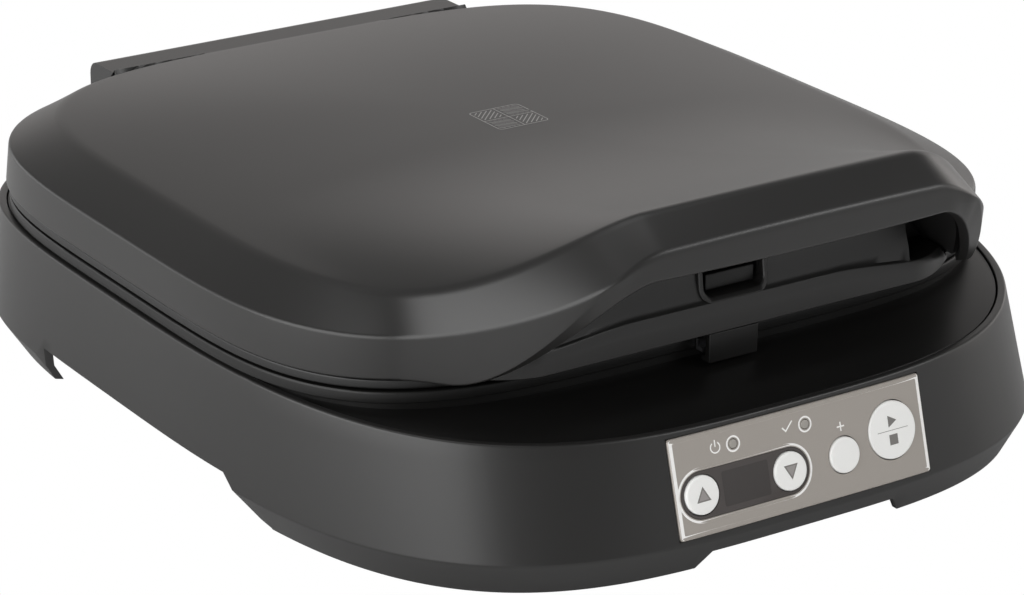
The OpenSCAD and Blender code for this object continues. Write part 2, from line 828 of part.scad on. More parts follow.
module display_window() {
    color(window_black) at_lid() difference() {
        intersection() {
            wall_band(panel_out + 0.1, panel_t - panel_out);
            pill(up_p, down_p, window_h / 2, -10, 10);
        }
        button_hole(up_p, arrow_d);
        button_hole(down_p, arrow_d);
    }
}
module display_module() {
    mid = (up_p[0] + down_p[0]) / 2;
    color(frame_black) at_lid() on_panel(mid, up_p[1], board_w)
        translate([-9.5, -8, 0]) cube([19, 16, button_back(mid, 19) + button_slack - board_w]);
}
module control_board() {
    color(board_green) at_lid() on_panel(0, panel_h / 2, board_w - board_t)
        translate([-panel_w / 2, -panel_h / 2, 0]) cube([panel_w, panel_h, board_t]);
}

// A button: cap, stem and the flange that keeps it in the panel
button_slack = 0.4;
flange_t = 1.2;
function button_back(x, d) = -fall(abs(x) + d / 2) - panel_t + panel_out - button_slack;
module button(p, d) {
    proud = 1;
    face_w = panel_out - fall(p[0]) + proud;
    back_w = button_back(p[0], d + 2 * flange);
    at_lid() on_panel(p[0], p[1], 0)
        rotate_extrude($fn = 96)
            polygon([
                [0, back_w - flange_t], [d / 2 + flange, back_w - flange_t], [d / 2 + flange, back_w],
                [d / 2, back_w], [d / 2, face_w - 0.6], [d / 2 - 0.6, face_w - 0.1],
                [d / 2 - 1.4, face_w], [0, face_w]]);
}
module up_button() { color(button_white) button(up_p, arrow_d); }
module down_button() { color(button_white) button(down_p, arrow_d); }
module more_button() { color(button_white) button(more_p, more_d); }
module start_button() { color(button_white) button(start_p, start_d); }

// Tactile switches on the board, one behind each button
module key_switches() {
    color(steel) at_lid()
        for (k = [[up_p, arrow_d], [down_p, arrow_d], [more_p, more_d], [start_p, start_d]])
            on_panel(k[0][0], k[0][1], board_w) {
                translate([-3, -3, 0]) cube([6, 6, switch_h]);
                cylinder(r = 1.7, h = button_back(k[0][0], k[1] + 2 * flange) - flange_t - travel
                    - fit_gap - board_w, $fn = 32);
            }
}
module lamp(p) {
    at_lid() on_panel(p[0], p[1], board_w)
        cylinder(r = lamp_r, h = panel_out - fall(p[0]) + 0.1 - board_w, $fn = 40);
}
module power_light() { color(lamp_clear) lamp(power_p); }
module ready_light() { color(lamp_clear) lamp(ready_p); }

// Hinge

pin_r = hinge_pin_d / 2;
bracket_x = barrel_half + bracket_gap;
bracket_r = 8;
module hinge_brackets() {
    foot = cover_z + cover_t + tower_h;
    out = bracket_x + bracket_t;
    color(steel) at_lid() mirrored() difference() {
        union() {
            x_rod(bracket_r, bracket_x, out, hinge_y, hinge_z);
            block(bracket_x, out, hinge_y - bracket_r, hinge_y, foot, hinge_z);
            block(bracket_x, out, hinge_y - 13, hinge_y - bracket_r + 1, foot, foot + 3);
            block(bracket_x - 14, bracket_x + eps, hinge_y - 13, hinge_y - 2, foot, foot + 3);
        }
        x_rod(pin_r + pin_gap, bracket_x - 1, bracket_x + bracket_t + 1, hinge_y, hinge_z);
    }
}
pin_in = 24;
module hinge_pins() {
    color(steel) at_lid() mirrored() {
        x_rod(pin_r, barrel_half - pin_in + 1, bracket_x + bracket_t + 0.5, hinge_y, hinge_z);
        x_rod(pin_r + 1.5, bracket_x + bracket_t + 0.3, bracket_x + bracket_t + 1.8, hinge_y, hinge_z);
    }
}

// Hinge barrel: the block behind the lid, round about the axis below and level with the lid on top
block_rear = 8;
module hinge_barrel() {
    back = hinge_y + block_rear;
    front = lid_rear - panel_rear_in - 0.5;
    seat_z = upper_ledge_z + flange_h;
    color(body_grey) at_lid() difference() {
        translate([-barrel_half, 0, 0])
            rotate([90, 0, 90])
                linear_extrude(height = 2 * barrel_half)
                    union() {
                        polygon(concat(
                            [[front, top_z - 1.5], [front, seat_z + 3], [front - 5, seat_z + 3],
                                [front - 5, seat_z], [hinge_y - barrel_r, seat_z],
                                [hinge_y - barrel_r, hinge_z], [hinge_y + barrel_r, hinge_z]],
                            [[back, hinge_z + barrel_r]],
                            arc(back - 6, top_z - 7.5, 6, 0, 90, 6)));
                        translate([hinge_y, hinge_z]) circle(r = barrel_r, $fn = 96);
                    }
        mirrored() x_rod(pin_r + pin_gap, barrel_half - pin_in, barrel_half + 1, hinge_y, hinge_z);
        block(-barrel_half + pin_in + 4, barrel_half - pin_in - 4,
            front + 3, back - 3, hinge_z + barrel_r - 6, top_z - 5);
    }
}

// Lid

panel_steps = [0.12, 0.32, 0.5, 0.65, 0.78, 0.9];
module lid_shell() {
    t = lid_wall;
    crest = swept(top_o, top_z, crest_c);
    crease = swept(lid_mid_o, lid_crease_z, bar_c);
    edge = below(crease, swept(lid_low_o, lid_z + 0.6, edge_c), 0.8);
    under = below(edge, swept(grow(lid_low_o, -0.8), lid_z, under_c), 0.6);
    under_in = below(edge, swept(grow(lid_low_o, -t), lid_z, inset_c(under_c, t, 0)), 0.6);
    edge_in = [for (i = [0:ring_n - 1]) [under_in[i][0], under_in[i][1], under_in[i][2] + 2]];
    crease_in = swept(grow(lid_mid_o, -t), lid_crease_z - 1, inset_c(bar_c, t, t + 0.6));
    crest_in = swept(grow(top_o, -1), top_z - t, inset_c(crest_c, 1, t));
    color(body_grey) at_lid() difference() {
        ring_skin([
            for (f = panel_steps) crowned(crest, f, 0),
            crest, crease, edge, under, under_in, edge_in, crease_in, crest_in,
            for (i = [len(panel_steps) - 1:-1:0]) crowned(crest, panel_steps[i], t)],
            [0, 0, top_z + crown], [0, 0, top_z + crown - t]);
        block(-barrel_half - fit_gap, barrel_half + fit_gap, lid_rear - panel_rear_in - 0.8,
            lid_rear + 5, lid_z - 5, top_z + crown);
        block(-bracket_x - bracket_t - 2, bracket_x + bracket_t + 2, hinge_y - bracket_r - 1.5,
            lid_rear + 5, lid_z - 5, hinge_z + bracket_r + 3.5);
    }
}

// Underside of the handle: the arch's inner face, from the lip of the bar back to the pocket wall
under_t = 2.2;
arch_back = pocket_y - 14;
under_last = arm_half - 22;
under_x = concat(steps(0, bar_half - 11, 4), steps(bar_half - 11, under_last, 12), [under_last]);
under_stations = concat([for (i = [len(under_x) - 1:-1:1]) -under_x[i]], under_x);
function under_section(x) = let (
        c = inset_c(under_c, lid_wall + fit_gap, 0),
        z = curve_z(lid_z, x, under_c) + 0.3,
        k = clamp01((abs(x) - bar_half + 13) / 12),
        y = curve_y(front_y(grow(lid_low_o, -lid_wall), x), x, c) + 2 * k,
        dx = sign(x) * under_t * k,
        dz = under_t * (1 - k * 0.8))
    [[x, y, z], [x, -arch_back, z], [x + dx, -arch_back, z + dz], [x + dx, y, z + dz]];
module handle_underside() {
    sections = [for (x = under_stations) under_section(x)];
    m = len(sections);
    color(body_grey) at_lid() polyhedron(
        points = [for (s = sections) each s],
        faces = concat(
            [[0, 1, 2, 3]],
            [for (i = [0:m - 2]) each band(i, i + 1, 4)],
            [[4 * m - 1, 4 * m - 2, 4 * m - 3, 4 * m - 4]])
    );
}

// Pocket wall behind the bar, with the ledge below it, a deeper recess at each end and the
// raised surround of the latch
wall_t = 2.5;
ledge_y = 168.5;
shelf_z = lid_z + 5.5;
latch_z = lid_z + 8.5;
latch_y = pocket_y - 4.7;
tab_z0 = lid_z + 14.5;
tab_z1 = lid_z + 22;
lug_x = latch_w / 2 + 3;
wall_half = bar_half + 8;
recess_half = arm_half - 27;
recess_y = arch_back;
wall_x = concat([for (x = [0:2:wall_half]) x], [wall_half]);
recess_x = concat([for (x = [wall_half - wall_t:2:recess_half]) x], [recess_half]);
function both(xs) = concat([for (i = [len(xs) - 1:-1:1]) -xs[i]], xs);
// An upright wall of stations xs, up to just under the arch
module arch_wall(xs, y) {
    last = xs[len(xs) - 1];
    translate([0, y, 0])
        rotate([90, 0, 0])
            linear_extrude(height = wall_t)
                polygon(concat(
                    [for (x = xs) [x, curve_z(lid_z, x, under_c) + 0.15]],
                    [[last, shelf_z - 1], [xs[0], shelf_z - 1]]));
}
function ledge_front(x) = mix(front_y(lid_low_o, x), -ledge_y, bar_part(x, wall_half, arm_half));
module pocket_wall() {
    ledge_x = both([for (x = [0:4:recess_half]) x]);
    color(deck_black) at_lid() difference() {
        union() {
            arch_wall(both(wall_x), -pocket_y + wall_t);
            mirrored() {
                arch_wall(recess_x, -recess_y + wall_t);
                block(wall_half - wall_t, wall_half, -pocket_y, -recess_y + 1,
                    shelf_z - 1, curve_z(lid_z, wall_half, under_c));
            }
            // Ledge along the lid's foot
            translate([0, 0, lid_z])
                linear_extrude(height = shelf_z - lid_z)
                    polygon(concat(
                        [for (x = ledge_x) [x, ledge_front(x)]],
                        [[recess_half, -recess_y + wall_t], [-recess_half, -recess_y + wall_t]]));
            // Surround of the latch
            block(-latch_w / 2 - 6, latch_w / 2 + 6, -pocket_y - 1.2, -pocket_y + wall_t,
                tab_z0 - 6, tab_z1 + 3);
            // Lugs for the pin
            mirrored() difference() {
                block(lug_x, lug_x + 4, -pocket_y + wall_t - eps, -latch_y + 3.4,
                    latch_z - 3.4, latch_z + 3.4);
                x_rod(latch_pin_d / 2 + pin_gap, lug_x - 1, lug_x + 5, -latch_y, latch_z);
            }
        }
        // Slot for the tab, then for the leg, then room for the lid's frame
        block(-latch_w / 2 - 1, latch_w / 2 + 1, -pocket_y - 5, -pocket_y + wall_t + 1,
            tab_z0 - 3.5, tab_z1 + 1);
        block(-latch_w / 2 - 3, latch_w / 2 + 3, -ledge_y - 1, -recess_y + wall_t + 1,
            lid_z - 1, lid_z + 2.2);
        block(-latch_w / 2 - 3, latch_w / 2 + 3, -pocket_y + wall_t, -recess_y + wall_t + 1,
            lid_z - 1, shelf_z + 1);
        slab(grow(frame_in_o, fit_gap), lid_z - 1, upper_ledge_z + flange_h + fit_gap - lid_z + 1);
    }
}

// Latch lever: thumb tab above the pin, hooked leg below it
module latch_lever() {
    y0 = -latch_y - 1.5;
    leg_y = -ledge_y;
    nose_z = wall_z - 1.9;
    color(deck_black) at_lid() difference() {
        union() {
            translate([-latch_w / 2, 0, 0])
                rotate([90, 0, 90])
                    linear_extrude(height = latch_w)
                        polygon([
                            [-pocket_y - 2, tab_z0], [y0, tab_z0], [y0, latch_z],
                            [y0, lid_z - 0.4], [leg_y, lid_z - 0.4], [leg_y, nose_z],
                            [leg_y + 6.5, nose_z], [leg_y + 6.5, nose_z + 1.6], [leg_y + 3, nose_z + 2.4],
                            [leg_y + 3, lid_z - 3.4], [y0 + 3, lid_z - 3.4],
                            [y0 + 3, tab_z1 - 1], [-pocket_y - 2, tab_z1 - 1]]);
            x_rod(2.15, -latch_w / 2, latch_w / 2, -latch_y, latch_z);
        }
        x_rod(latch_pin_d / 2 + pin_gap, -latch_w, latch_w, -latch_y, latch_z);
    }
}
module latch_pin() {
    color(steel) at_lid() x_rod(latch_pin_d / 2, -lug_x - 4.5, lug_x + 4.5, -latch_y, latch_z);
}

// Keeper on the deck's rim that the hook's nose swings under
module latch_keeper() {
    y_rim = -rim_o[1] - fit_gap;
    lip_z = wall_z + 0.6;
    color(steel) at_lid() {
        block(-10, 10, y_rim - 1.2, y_rim, lip_z, rim_z - 0.5);
        block(-10, 10, -ledge_y + 6.9, y_rim - 1.2 + eps, lip_z, lip_z + 1.5);
    }
}

// Lid frame: the black ring under the lid that carries the upper plate
upper_plate_z = frame_z + 0.5;
upper_ledge_z = upper_plate_z + slab_t;
flange_h = 3;
frame_in_o = grow(lid_low_o, -lid_wall - 0.8);
module lid_frame() {
    color(frame_black) at_lid() difference() {
        union() {
            ring_loop([
                flat(rim_o, frame_z), flat(rim_o, frame_z + frame_lip_h),
                flat(frame_in_o, frame_z + frame_lip_h), flat(frame_in_o, upper_ledge_z + flange_h),
                flat(grow(plate_o, -ledge_in), upper_ledge_z + flange_h),
                flat(grow(plate_o, -ledge_in), upper_ledge_z), flat(grow(plate_o, fit_gap), upper_ledge_z),
                flat(grow(plate_o, fit_gap), frame_z)]);
            plate_screw_places()
                translate([0, 0, upper_ledge_z]) cylinder(r = boss_r, h = bezel_h, $fn = 40);
        }
        plate_screw_places()
            translate([0, 0, upper_ledge_z - 1]) cylinder(r = 1.9, h = bezel_h, $fn = 32);
        block(-bracket_x - bracket_t - 2.5, bracket_x + bracket_t + 2.5, hinge_y - barrel_r - 0.5,
            lid_rear, 0, lid_crease_z);
        block(-latch_w / 2 - 3, latch_w / 2 + 3, -lid_front, -plate_o[1] - 3.5, 0, lid_crease_z);
    }
}
module upper_cooking_plate() {
    color(plate_grey) at_lid()
        translate([0, 0, upper_plate_z])
            mirror([0, 0, 1])
                cooking_plate();
}
upper_boss_z = upper_plate_z + cavity_depth + plate_floor_t;
upper_element_z = upper_boss_z + element_gap + element_r;
upper_shield_z = upper_element_z + element_r + element_gap;
module upper_heating_element() {
    color(element_steel) at_lid() element(upper_element_z);
}
module upper_heat_shield() {
    color(steel) at_lid() difference() {
        slab(shield_o, upper_shield_z, shield_t);
        shield_post_places()
            translate([0, 0, upper_shield_z - 1]) cylinder(r = 1.7, h = 3, $fn = 24);
    }
}
module upper_shield_posts() {
    color(steel) at_lid() shield_post_places() shield_post(upper_ledge_z, upper_shield_z);
}
module upper_sensor() {
    color(steel) at_lid() translate([0, 0, upper_ledge_z]) cylinder(r = sensor_r, h = sensor_h, $fn = 40);
}
module lower_plate_screws() { color(steel) plate_screws(lower_plate_z, false); }
module upper_plate_screws() { color(steel) plate_screws(upper_plate_z, true); }

base_shell();
base_deck();
plate_bezel();
base_cover();
rubber_feet();
cover_screws();
lower_cooking_plate();
lower_plate_screws();
lower_heating_element();
lower_heat_shield();
lower_shield_posts();
lower_sensor();
power_board();
board_screws();
cord_gland();
panel_fascia();
display_window();
display_module();
control_board();
key_switches();
power_light();
ready_light();
up_button();
down_button();
more_button();
start_button();
hinge_brackets();
hinge_pins();
latch_keeper();
lid_shell();
handle_underside();
pocket_wall();
hinge_barrel();
lid_frame();
upper_cooking_plate();
upper_plate_screws();
upper_heating_element();
upper_heat_shield();
upper_shield_posts();
upper_sensor();
latch_lever();
latch_pin();
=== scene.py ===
import bpy
import bmesh
import math
import numpy as np
from mathutils import Matrix, Vector
from mathutils.geometry import tessellate_polygon


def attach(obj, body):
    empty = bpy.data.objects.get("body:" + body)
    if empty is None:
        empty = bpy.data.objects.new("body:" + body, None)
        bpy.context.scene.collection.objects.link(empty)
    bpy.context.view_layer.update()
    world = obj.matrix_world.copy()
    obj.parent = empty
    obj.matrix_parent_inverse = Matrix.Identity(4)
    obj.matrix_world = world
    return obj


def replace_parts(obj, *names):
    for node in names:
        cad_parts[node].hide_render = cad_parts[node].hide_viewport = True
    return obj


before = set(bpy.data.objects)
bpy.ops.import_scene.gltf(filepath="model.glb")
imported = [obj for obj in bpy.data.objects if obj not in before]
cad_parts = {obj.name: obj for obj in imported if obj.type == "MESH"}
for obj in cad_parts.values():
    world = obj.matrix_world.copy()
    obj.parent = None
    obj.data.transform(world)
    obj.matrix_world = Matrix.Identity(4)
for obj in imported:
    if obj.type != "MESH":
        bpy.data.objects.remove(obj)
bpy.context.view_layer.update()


# ---------------------------------------------------------------- sizes (mm, lid-centred frame)
# An outline is (half width, reach to the front, reach to the rear, front and rear exponent).
LID_CY = 19.75                  # the lid's centre lies this far behind the footprint's middle
WALL_Z = 59.3                   # top of the base wall at the rear
DROP = 5.4                      # how far the wall's top falls towards the panel
DIP_FROM, DIP_RUN = -60.0, 144.3    # the y from which it falls, and over what length
SKIRT_Z, FOOT_Z = 14.5, 1.2
BASE_WALL = 3.0
SKIRT = (168.3, 215.5, 176.0, 3.35, 4.2)
FOOT = (159.8, 209.125, 169.625, 3.46, 4.2)
WALL = (165.4, 204.6, 172.0, 3.16, 4.2)
RUN, RISE = 10.9, WALL_Z - DROP - SKIRT_Z      # of the front wall, in its middle
LEAN = math.atan(RUN / RISE)
CL, SL = math.cos(LEAN), math.sin(LEAN)
NOTCH_X = 98.5                  # half width of the hinge notch in the base
LID_T = 2.6                     # wall of the lid shell
LOW = (165.0, 158.4, 158.9, 4.37, 4.37)
MID = (165.0, 163.6, 161.8, 3.97, 3.97)
TOP = (144.1, 150.8, 148.7, 4.07, 4.07)
RIM_Z = WALL_Z + 5.4
FRAME_Z = RIM_Z + 1.0
LID_Z = FRAME_Z + 3.8
CREASE_Z = LID_Z + 16.8
TOP_Z = CREASE_Z + 10.3
CROWN = 9.0                     # how far the top panel bulges
CLIMB_FROM = 30.0               # so far in front of the middle it starts to rise to the handle
PLATE = (152.0, 146.0, 146.5, 4.37, 4.37)
RIM = (164.0, 157.4, 157.9, 4.37, 4.37)
LEDGE_Z = RIM_Z - 4.7
UPPER_LEDGE_Z = FRAME_Z + 0.5 + 4.2
PLATE_GAP = 0.3
BARREL = 87.0                   # half width of the hinge block
RECESS_Y = -149.2               # back of the deeper recess at each end of the pocket
CORNER_X = 118.0                # stations go by x up to here, then by angle
PANEL_HALF = 56.8               # half width of the opening for the key panel
GLAND = (-62.0, 172.0, 38.6, 9.3)   # hole of the mains lead's gland: centre and radius

# Curves of the handle: y in the middle, bow, z in the middle, sag, then the |x| between which
# y and the |x| between which z go over into the plain outline
CREST_C = (-193.3, 3.0, TOP_Z + 38.4, -2.0, 60.0, 143.0, 58.0, 134.0)
BAR_C = (-209.0, 3.5, TOP_Z + 28.7, -2.5, 75.0, 131.0, 60.0, 131.0)
EDGE_C = (-209.0, 3.5, TOP_Z + 27.8, -2.5, 75.0, 131.0, 70.0, 118.0)
UNDER_C = (-208.0, 3.0, TOP_Z + 16.3, 0.0, 66.0, 133.0, 64.0, 118.0)
BOW_HALF = 75.0                 # the bow and the sag grow up to this |x|


def grow(o, d):
    return (o[0] + d, o[1] + d, o[2] + d, o[3], o[4])


def smooth(t):
    t = np.clip(t, 0, 1)
    return t * t * (3 - 2 * t)


def front_y(o, x):
    return -o[1] * np.maximum(0, 1 - (np.abs(x) / o[0]) ** o[3]) ** (1 / o[3])


def rear_y(o, x):
    return o[2] * np.maximum(0, 1 - (np.abs(x) / o[0]) ** o[4]) ** (1 / o[4])


def wall_top(y):
    return WALL_Z - DROP * np.clip((DIP_FROM - y) / DIP_RUN, 0, 1) ** 2


def bar_part(x, a, b):
    return 1 - smooth((np.abs(x) - a) / (b - a))


def sag(x):
    return (np.minimum(np.abs(x), BOW_HALF) / BOW_HALF) ** 2


def curve_y(y, x, c):
    w = bar_part(x, c[4], c[5])
    return y + (c[0] + c[1] * sag(x) - y) * w


def curve_z(z, x, c):
    w = bar_part(x, c[6], c[7])
    return z + (c[2] + c[3] * sag(x) - z) * w


def inset_c(c, t, dz):
    return (c[0] + t, c[1], c[2] - dz, c[3], c[4] - t, c[5] - t, c[6] - t, c[7] - t)


# ---------------------------------------------------------------- stations round the outlines
def merged(values, extra):
    """Sorted stations. Where two lie within 0.35 mm, a plain one gives way."""
    fixed = {round(float(v), 4) for v in extra}
    out = sorted({round(float(v), 4) for v in values} | fixed)
    keep = [out[0]]
    for v in out[1:]:
        near = v - keep[-1] <= 0.35
        if near and v in fixed and keep[-1] not in fixed:
            keep[-1] = v
        elif not near or v in fixed:
            keep.append(v)
    return keep


def stations(front_extra=(), front_double=(), rear_double=(), angles=()):
    """Right half from the front middle to the rear middle: (kind, value, twin).

    kind is f or r for an x of the front or rear, fc or rc for a share of the corner's angle
    and fa for a front angle. A doubled x has an inner twin, 0, and an outer one, 1.
    """
    out = []
    front = merged(np.concatenate([np.arange(0, 60, 3.0), np.arange(60, CORNER_X, 1.6)]),
                   list(front_extra) + list(front_double))
    for x in front:
        if x in front_double:
            out.append(("f", x, 0))
        out.append(("f", x, 1))
    shares = [float(u) for u in np.linspace(0, 1, 41)[:-1]]
    out += [("fc", u, 1) for u in shares] + [("fa", a, 1) for a in sorted(angles)]
    out += [("rc", u, 1) for u in shares]
    rear = merged(np.concatenate([np.arange(0, 90, 4.0), np.arange(90, CORNER_X + 0.1, 2.0)]),
                  list(rear_double) + [CORNER_X])
    for x in reversed(rear):
        out.append(("r", x, 1))
        if x in rear_double:
            out.append(("r", x, 0))
    return out


def half(o, st):
    """(n, 2) points of an outline at the stations."""
    t0 = math.acos((CORNER_X / o[0]) ** (o[3] / 2))
    t1 = math.acos((CORNER_X / o[0]) ** (o[4] / 2))
    pts = []
    for kind, v, _ in st:
        if kind == "f":
            pts.append((v, float(front_y(o, v))))
        elif kind == "r":
            pts.append((v, float(rear_y(o, v))))
        elif kind == "rc":
            t = t1 * v
            pts.append((o[0] * math.cos(t) ** (2 / o[4]), o[2] * math.sin(t) ** (2 / o[4])))
        else:
            t = t0 * (1 - v) if kind == "fc" else v
            pts.append((o[0] * math.cos(t) ** (2 / o[3]), -o[1] * math.sin(t) ** (2 / o[3])))
    return np.array(pts)


class Ring:
    """A set of stations, mirrored to a full turn, anticlockwise from above."""

    def __init__(self, **kw):
        st = stations(**kw)
        # The extra angles go to their places along the side
        y = half(WALL, st)[:, 1]
        side = sorted((i for i, q in enumerate(st) if q[0] in ("fc", "fa")), key=lambda i: y[i])
        self.st = ([q for q in st if q[0] == "f"] + [st[i] for i in side]
                   + [q for q in st if q[0] in ("rc", "r")])
        m = len(self.st)
        tail = list(range(m - 2, 0, -1))
        self.src = np.array(list(range(m)) + tail)
        self.sign = np.array([1.0] * m + [-1.0] * len(tail))
        self.n = len(self.src)
        self.twins = np.array([self.st[i][2] for i in self.src])
        self.front = np.array([self.st[i][0] == "f" for i in self.src])
        self.rear = np.array([self.st[i][0] == "r" for i in self.src])

    def inside(self, x, limit):
        """Stations within limit, and of a doubled one at the limit the inner twin."""
        x = np.abs(x)
        return (x < limit - 0.1) | ((np.abs(x - limit) < 0.2) & (self.twins == 0))

    def xy(self, o):
        p = half(o, self.st)[self.src]
        p[:, 0] *= self.sign
        return p

    def flat(self, o, z):
        p = self.xy(o)
        return np.column_stack([p, np.full(len(p), float(z))])

    def dipped(self, o, dz):
        p = self.xy(o)
        return np.column_stack([p, wall_top(p[:, 1]) + dz])

    def swept(self, o, z, c):
        p = self.xy(o)
        x, y = p[:, 0], p[:, 1]
        on = (y < 0) & (np.abs(x) < c[5])
        ny = np.where(on, curve_y(y, x, c), y)
        nz = np.where(on, curve_z(z, x, c), z)
        return np.column_stack([x, ny, nz])


def fillet(rows, radii, k=4, closed=False):
    """Rounds each row that has a radius, towards its neighbours.

    Returns the rows and, for each, the number of the row it comes from.
    """
    out, tags = [], []
    for i, row in enumerate(rows):
        r = radii[i]
        if r is None or (not closed and i in (0, len(rows) - 1)):
            out.append(row)
            tags.append(i)
            continue
        a, b = rows[i - 1] - row, rows[(i + 1) % len(rows)] - row
        la, lb = np.linalg.norm(a, axis=1) + 1e-9, np.linalg.norm(b, axis=1) + 1e-9
        ra, rb = np.minimum(r, la * 0.46), np.minimum(r, lb * 0.46)
        p0, p2 = row + a / la[:, None] * ra[:, None], row + b / lb[:, None] * rb[:, None]
        for j in range(k + 1):
            t = j / k
            out.append(p0 * (1 - t) ** 2 + row * 2 * t * (1 - t) + p2 * t * t)
            tags.append(i)
    return out, tags


# ---------------------------------------------------------------- meshes
def mesh_object(name, verts, faces, mat, body=None, sharp=35.0, clean=True):
    """A smooth-shaded piece from points in mm of the lid-centred frame."""
    me = bpy.data.meshes.new(name)
    v = np.asarray(verts, float).copy()
    v[:, 1] += LID_CY
    v *= 0.001
    me.from_pydata([tuple(p) for p in v], [], [tuple(f) for f in faces])
    me.materials.append(mat)
    if clean:
        bm = bmesh.new()
        bm.from_mesh(me)
        bmesh.ops.remove_doubles(bm, verts=bm.verts, dist=2e-6)
        bmesh.ops.dissolve_degenerate(bm, edges=bm.edges, dist=1e-6)
        bmesh.ops.recalc_face_normals(bm, faces=bm.faces)
        bm.to_mesh(me)
        bm.free()
    me.shade_smooth()
    me.set_sharp_from_angle(angle=math.radians(sharp))
    ob = bpy.data.objects.new(name, me)
    bpy.context.scene.collection.objects.link(ob)
    if body:
        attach(ob, body)
    return ob


def skin(rows, closed_rows=False, first=None, last=None):
    """Quads between rows of the same count, each row a closed ring."""
    n = len(rows[0])
    v = [p for r in rows for p in r]
    f = []
    m = len(rows)
    for i in range(m if closed_rows else m - 1):
        j = (i + 1) % m
        for k in range(n):
            l = (k + 1) % n
            f.append((i * n + k, i * n + l, j * n + l, j * n + k))
    if first is not None:
        v.append(first)
        c = len(v) - 1
        f += [(c, k, (k + 1) % n) for k in range(n)]
    if last is not None:
        v.append(last)
        c = len(v) - 1
        b = (m - 1) * n
        f += [(c, b + (k + 1) % n, b + k) for k in range(n)]
    return v, f


def take_out(ob, cutter):
    """Cuts one piece by another, which is then removed."""
    mod = ob.modifiers.new("cut", "BOOLEAN")
    mod.operation = "DIFFERENCE"
    mod.solver = "EXACT"
    mod.object = cutter
    bpy.context.view_layer.update()
    done = bpy.data.meshes.new_from_object(ob.evaluated_get(bpy.context.evaluated_depsgraph_get()))
    ob.modifiers.remove(mod)
    old = ob.data
    name = old.name
    ob.data = done
    bpy.data.meshes.remove(old)
    done.name = name
    done.shade_smooth()
    done.set_sharp_from_angle(angle=math.radians(35))
    bpy.data.objects.remove(cutter, do_unlink=True)


def lathe(name, profile, mat, body, n, at, sharp):
    """Turns an (r, h) profile about a local axis. at maps local (x, y, h) in mm to the frame."""
    rows = []
    for r, h in profile:
        a = np.arange(n) * 2 * np.pi / n
        rows.append(np.column_stack([r * np.cos(a), r * np.sin(a), np.full(n, h)]))
    v, f = skin(rows)
    return mesh_object(name, [at(*p) for p in v], f, mat, body, sharp)


def round_profile(pts, radii, k=5):
    """A 2-D open profile with rounded corners."""
    out = []
    for i, p in enumerate(pts):
        r = radii[i]
        if not r or i == 0 or i == len(pts) - 1:
            out.append(tuple(p))
            continue
        p = np.array(p, float)
        a, b = np.array(pts[i - 1]) - p, np.array(pts[i + 1]) - p
        la, lb = np.linalg.norm(a), np.linalg.norm(b)
        p0, p2 = p + a / la * min(r, la * 0.49), p + b / lb * min(r, lb * 0.49)
        for j in range(k + 1):
            t = j / k
            out.append(tuple(p0 * (1 - t) ** 2 + p * 2 * t * (1 - t) + p2 * t * t))
    return out


# ---------------------------------------------------------------- materials
def material(name, color, rough, metallic=0.0, bump=0.0, scale=900.0, spec=0.5, coat=0.0,
             mottled=0.0):
    """bump is a fine grain, mottled the share by which its noise lightens and darkens."""
    m = bpy.data.materials.new(name)
    m.use_nodes = True
    nt = m.node_tree
    b = nt.nodes["Principled BSDF"]
    b.inputs["Base Color"].default_value = (*color, 1)
    b.inputs["Roughness"].default_value = rough
    b.inputs["Metallic"].default_value = metallic
    b.inputs["Specular IOR Level"].default_value = spec
    b.inputs["Coat Weight"].default_value = coat
    if bump or mottled:
        tc = nt.nodes.new("ShaderNodeTexCoord")
        no = nt.nodes.new("ShaderNodeTexNoise")
        no.inputs["Scale"].default_value = scale
        no.inputs["Detail"].default_value = 3.0
        nt.links.new(tc.outputs["Object"], no.inputs["Vector"])
        if bump:
            bu = nt.nodes.new("ShaderNodeBump")
            bu.inputs["Strength"].default_value = bump
            bu.inputs["Distance"].default_value = 0.0001
            nt.links.new(no.outputs["Fac"], bu.inputs["Height"])
            nt.links.new(bu.outputs["Normal"], b.inputs["Normal"])
        if mottled:
            mx = nt.nodes.new("ShaderNodeMix")
            mx.data_type = "RGBA"
            mx.inputs[6].default_value = (*[c * (1 - mottled) for c in color], 1)
            mx.inputs[7].default_value = (*[min(1, c * (1 + mottled)) for c in color], 1)
            nt.links.new(no.outputs["Fac"], mx.inputs[0])
            nt.links.new(mx.outputs[2], b.inputs["Base Color"])
    return m


BODY = material("body_plastic", (0.017, 0.0165, 0.016), 0.36, bump=0.1, scale=2600.0, spec=0.5)
DECK = material("deck_plastic", (0.006, 0.0058, 0.0055), 0.4, bump=0.1, scale=2600.0, spec=0.36)
FRAME = material("frame_plastic", (0.007, 0.007, 0.007), 0.42, bump=0.1, scale=2600.0)
COAT = material("nonstick", (0.032, 0.032, 0.034), 0.38, metallic=0.2, bump=0.2, scale=1600.0,
                mottled=0.25)
STEEL = material("steel", (0.5, 0.5, 0.52), 0.32, metallic=1.0)
TUBE = material("element_steel", (0.16, 0.14, 0.125), 0.5, metallic=0.9)
SHEET = material("shield_sheet", (0.55, 0.55, 0.56), 0.4, metallic=1.0)
FASCIA = material("fascia_film", (0.4, 0.368, 0.335), 0.4, metallic=0.35)
LINE = material("pale_print", (0.96, 0.95, 0.93), 0.5)
WINDOW = material("smoked_window", (0.055, 0.046, 0.043), 0.16, coat=0.4)
LCD = material("lcd_glass", (0.03, 0.024, 0.022), 0.12, coat=0.5)
KEY = material("white_key", (0.94, 0.94, 0.92), 0.38)
PRINT = material("key_print", (0.2, 0.19, 0.18), 0.5)
PRINT_LIGHT = material("key_print_light", (0.33, 0.31, 0.3), 0.5)
LENS = material("lamp_lens", (0.36, 0.34, 0.31), 0.2)
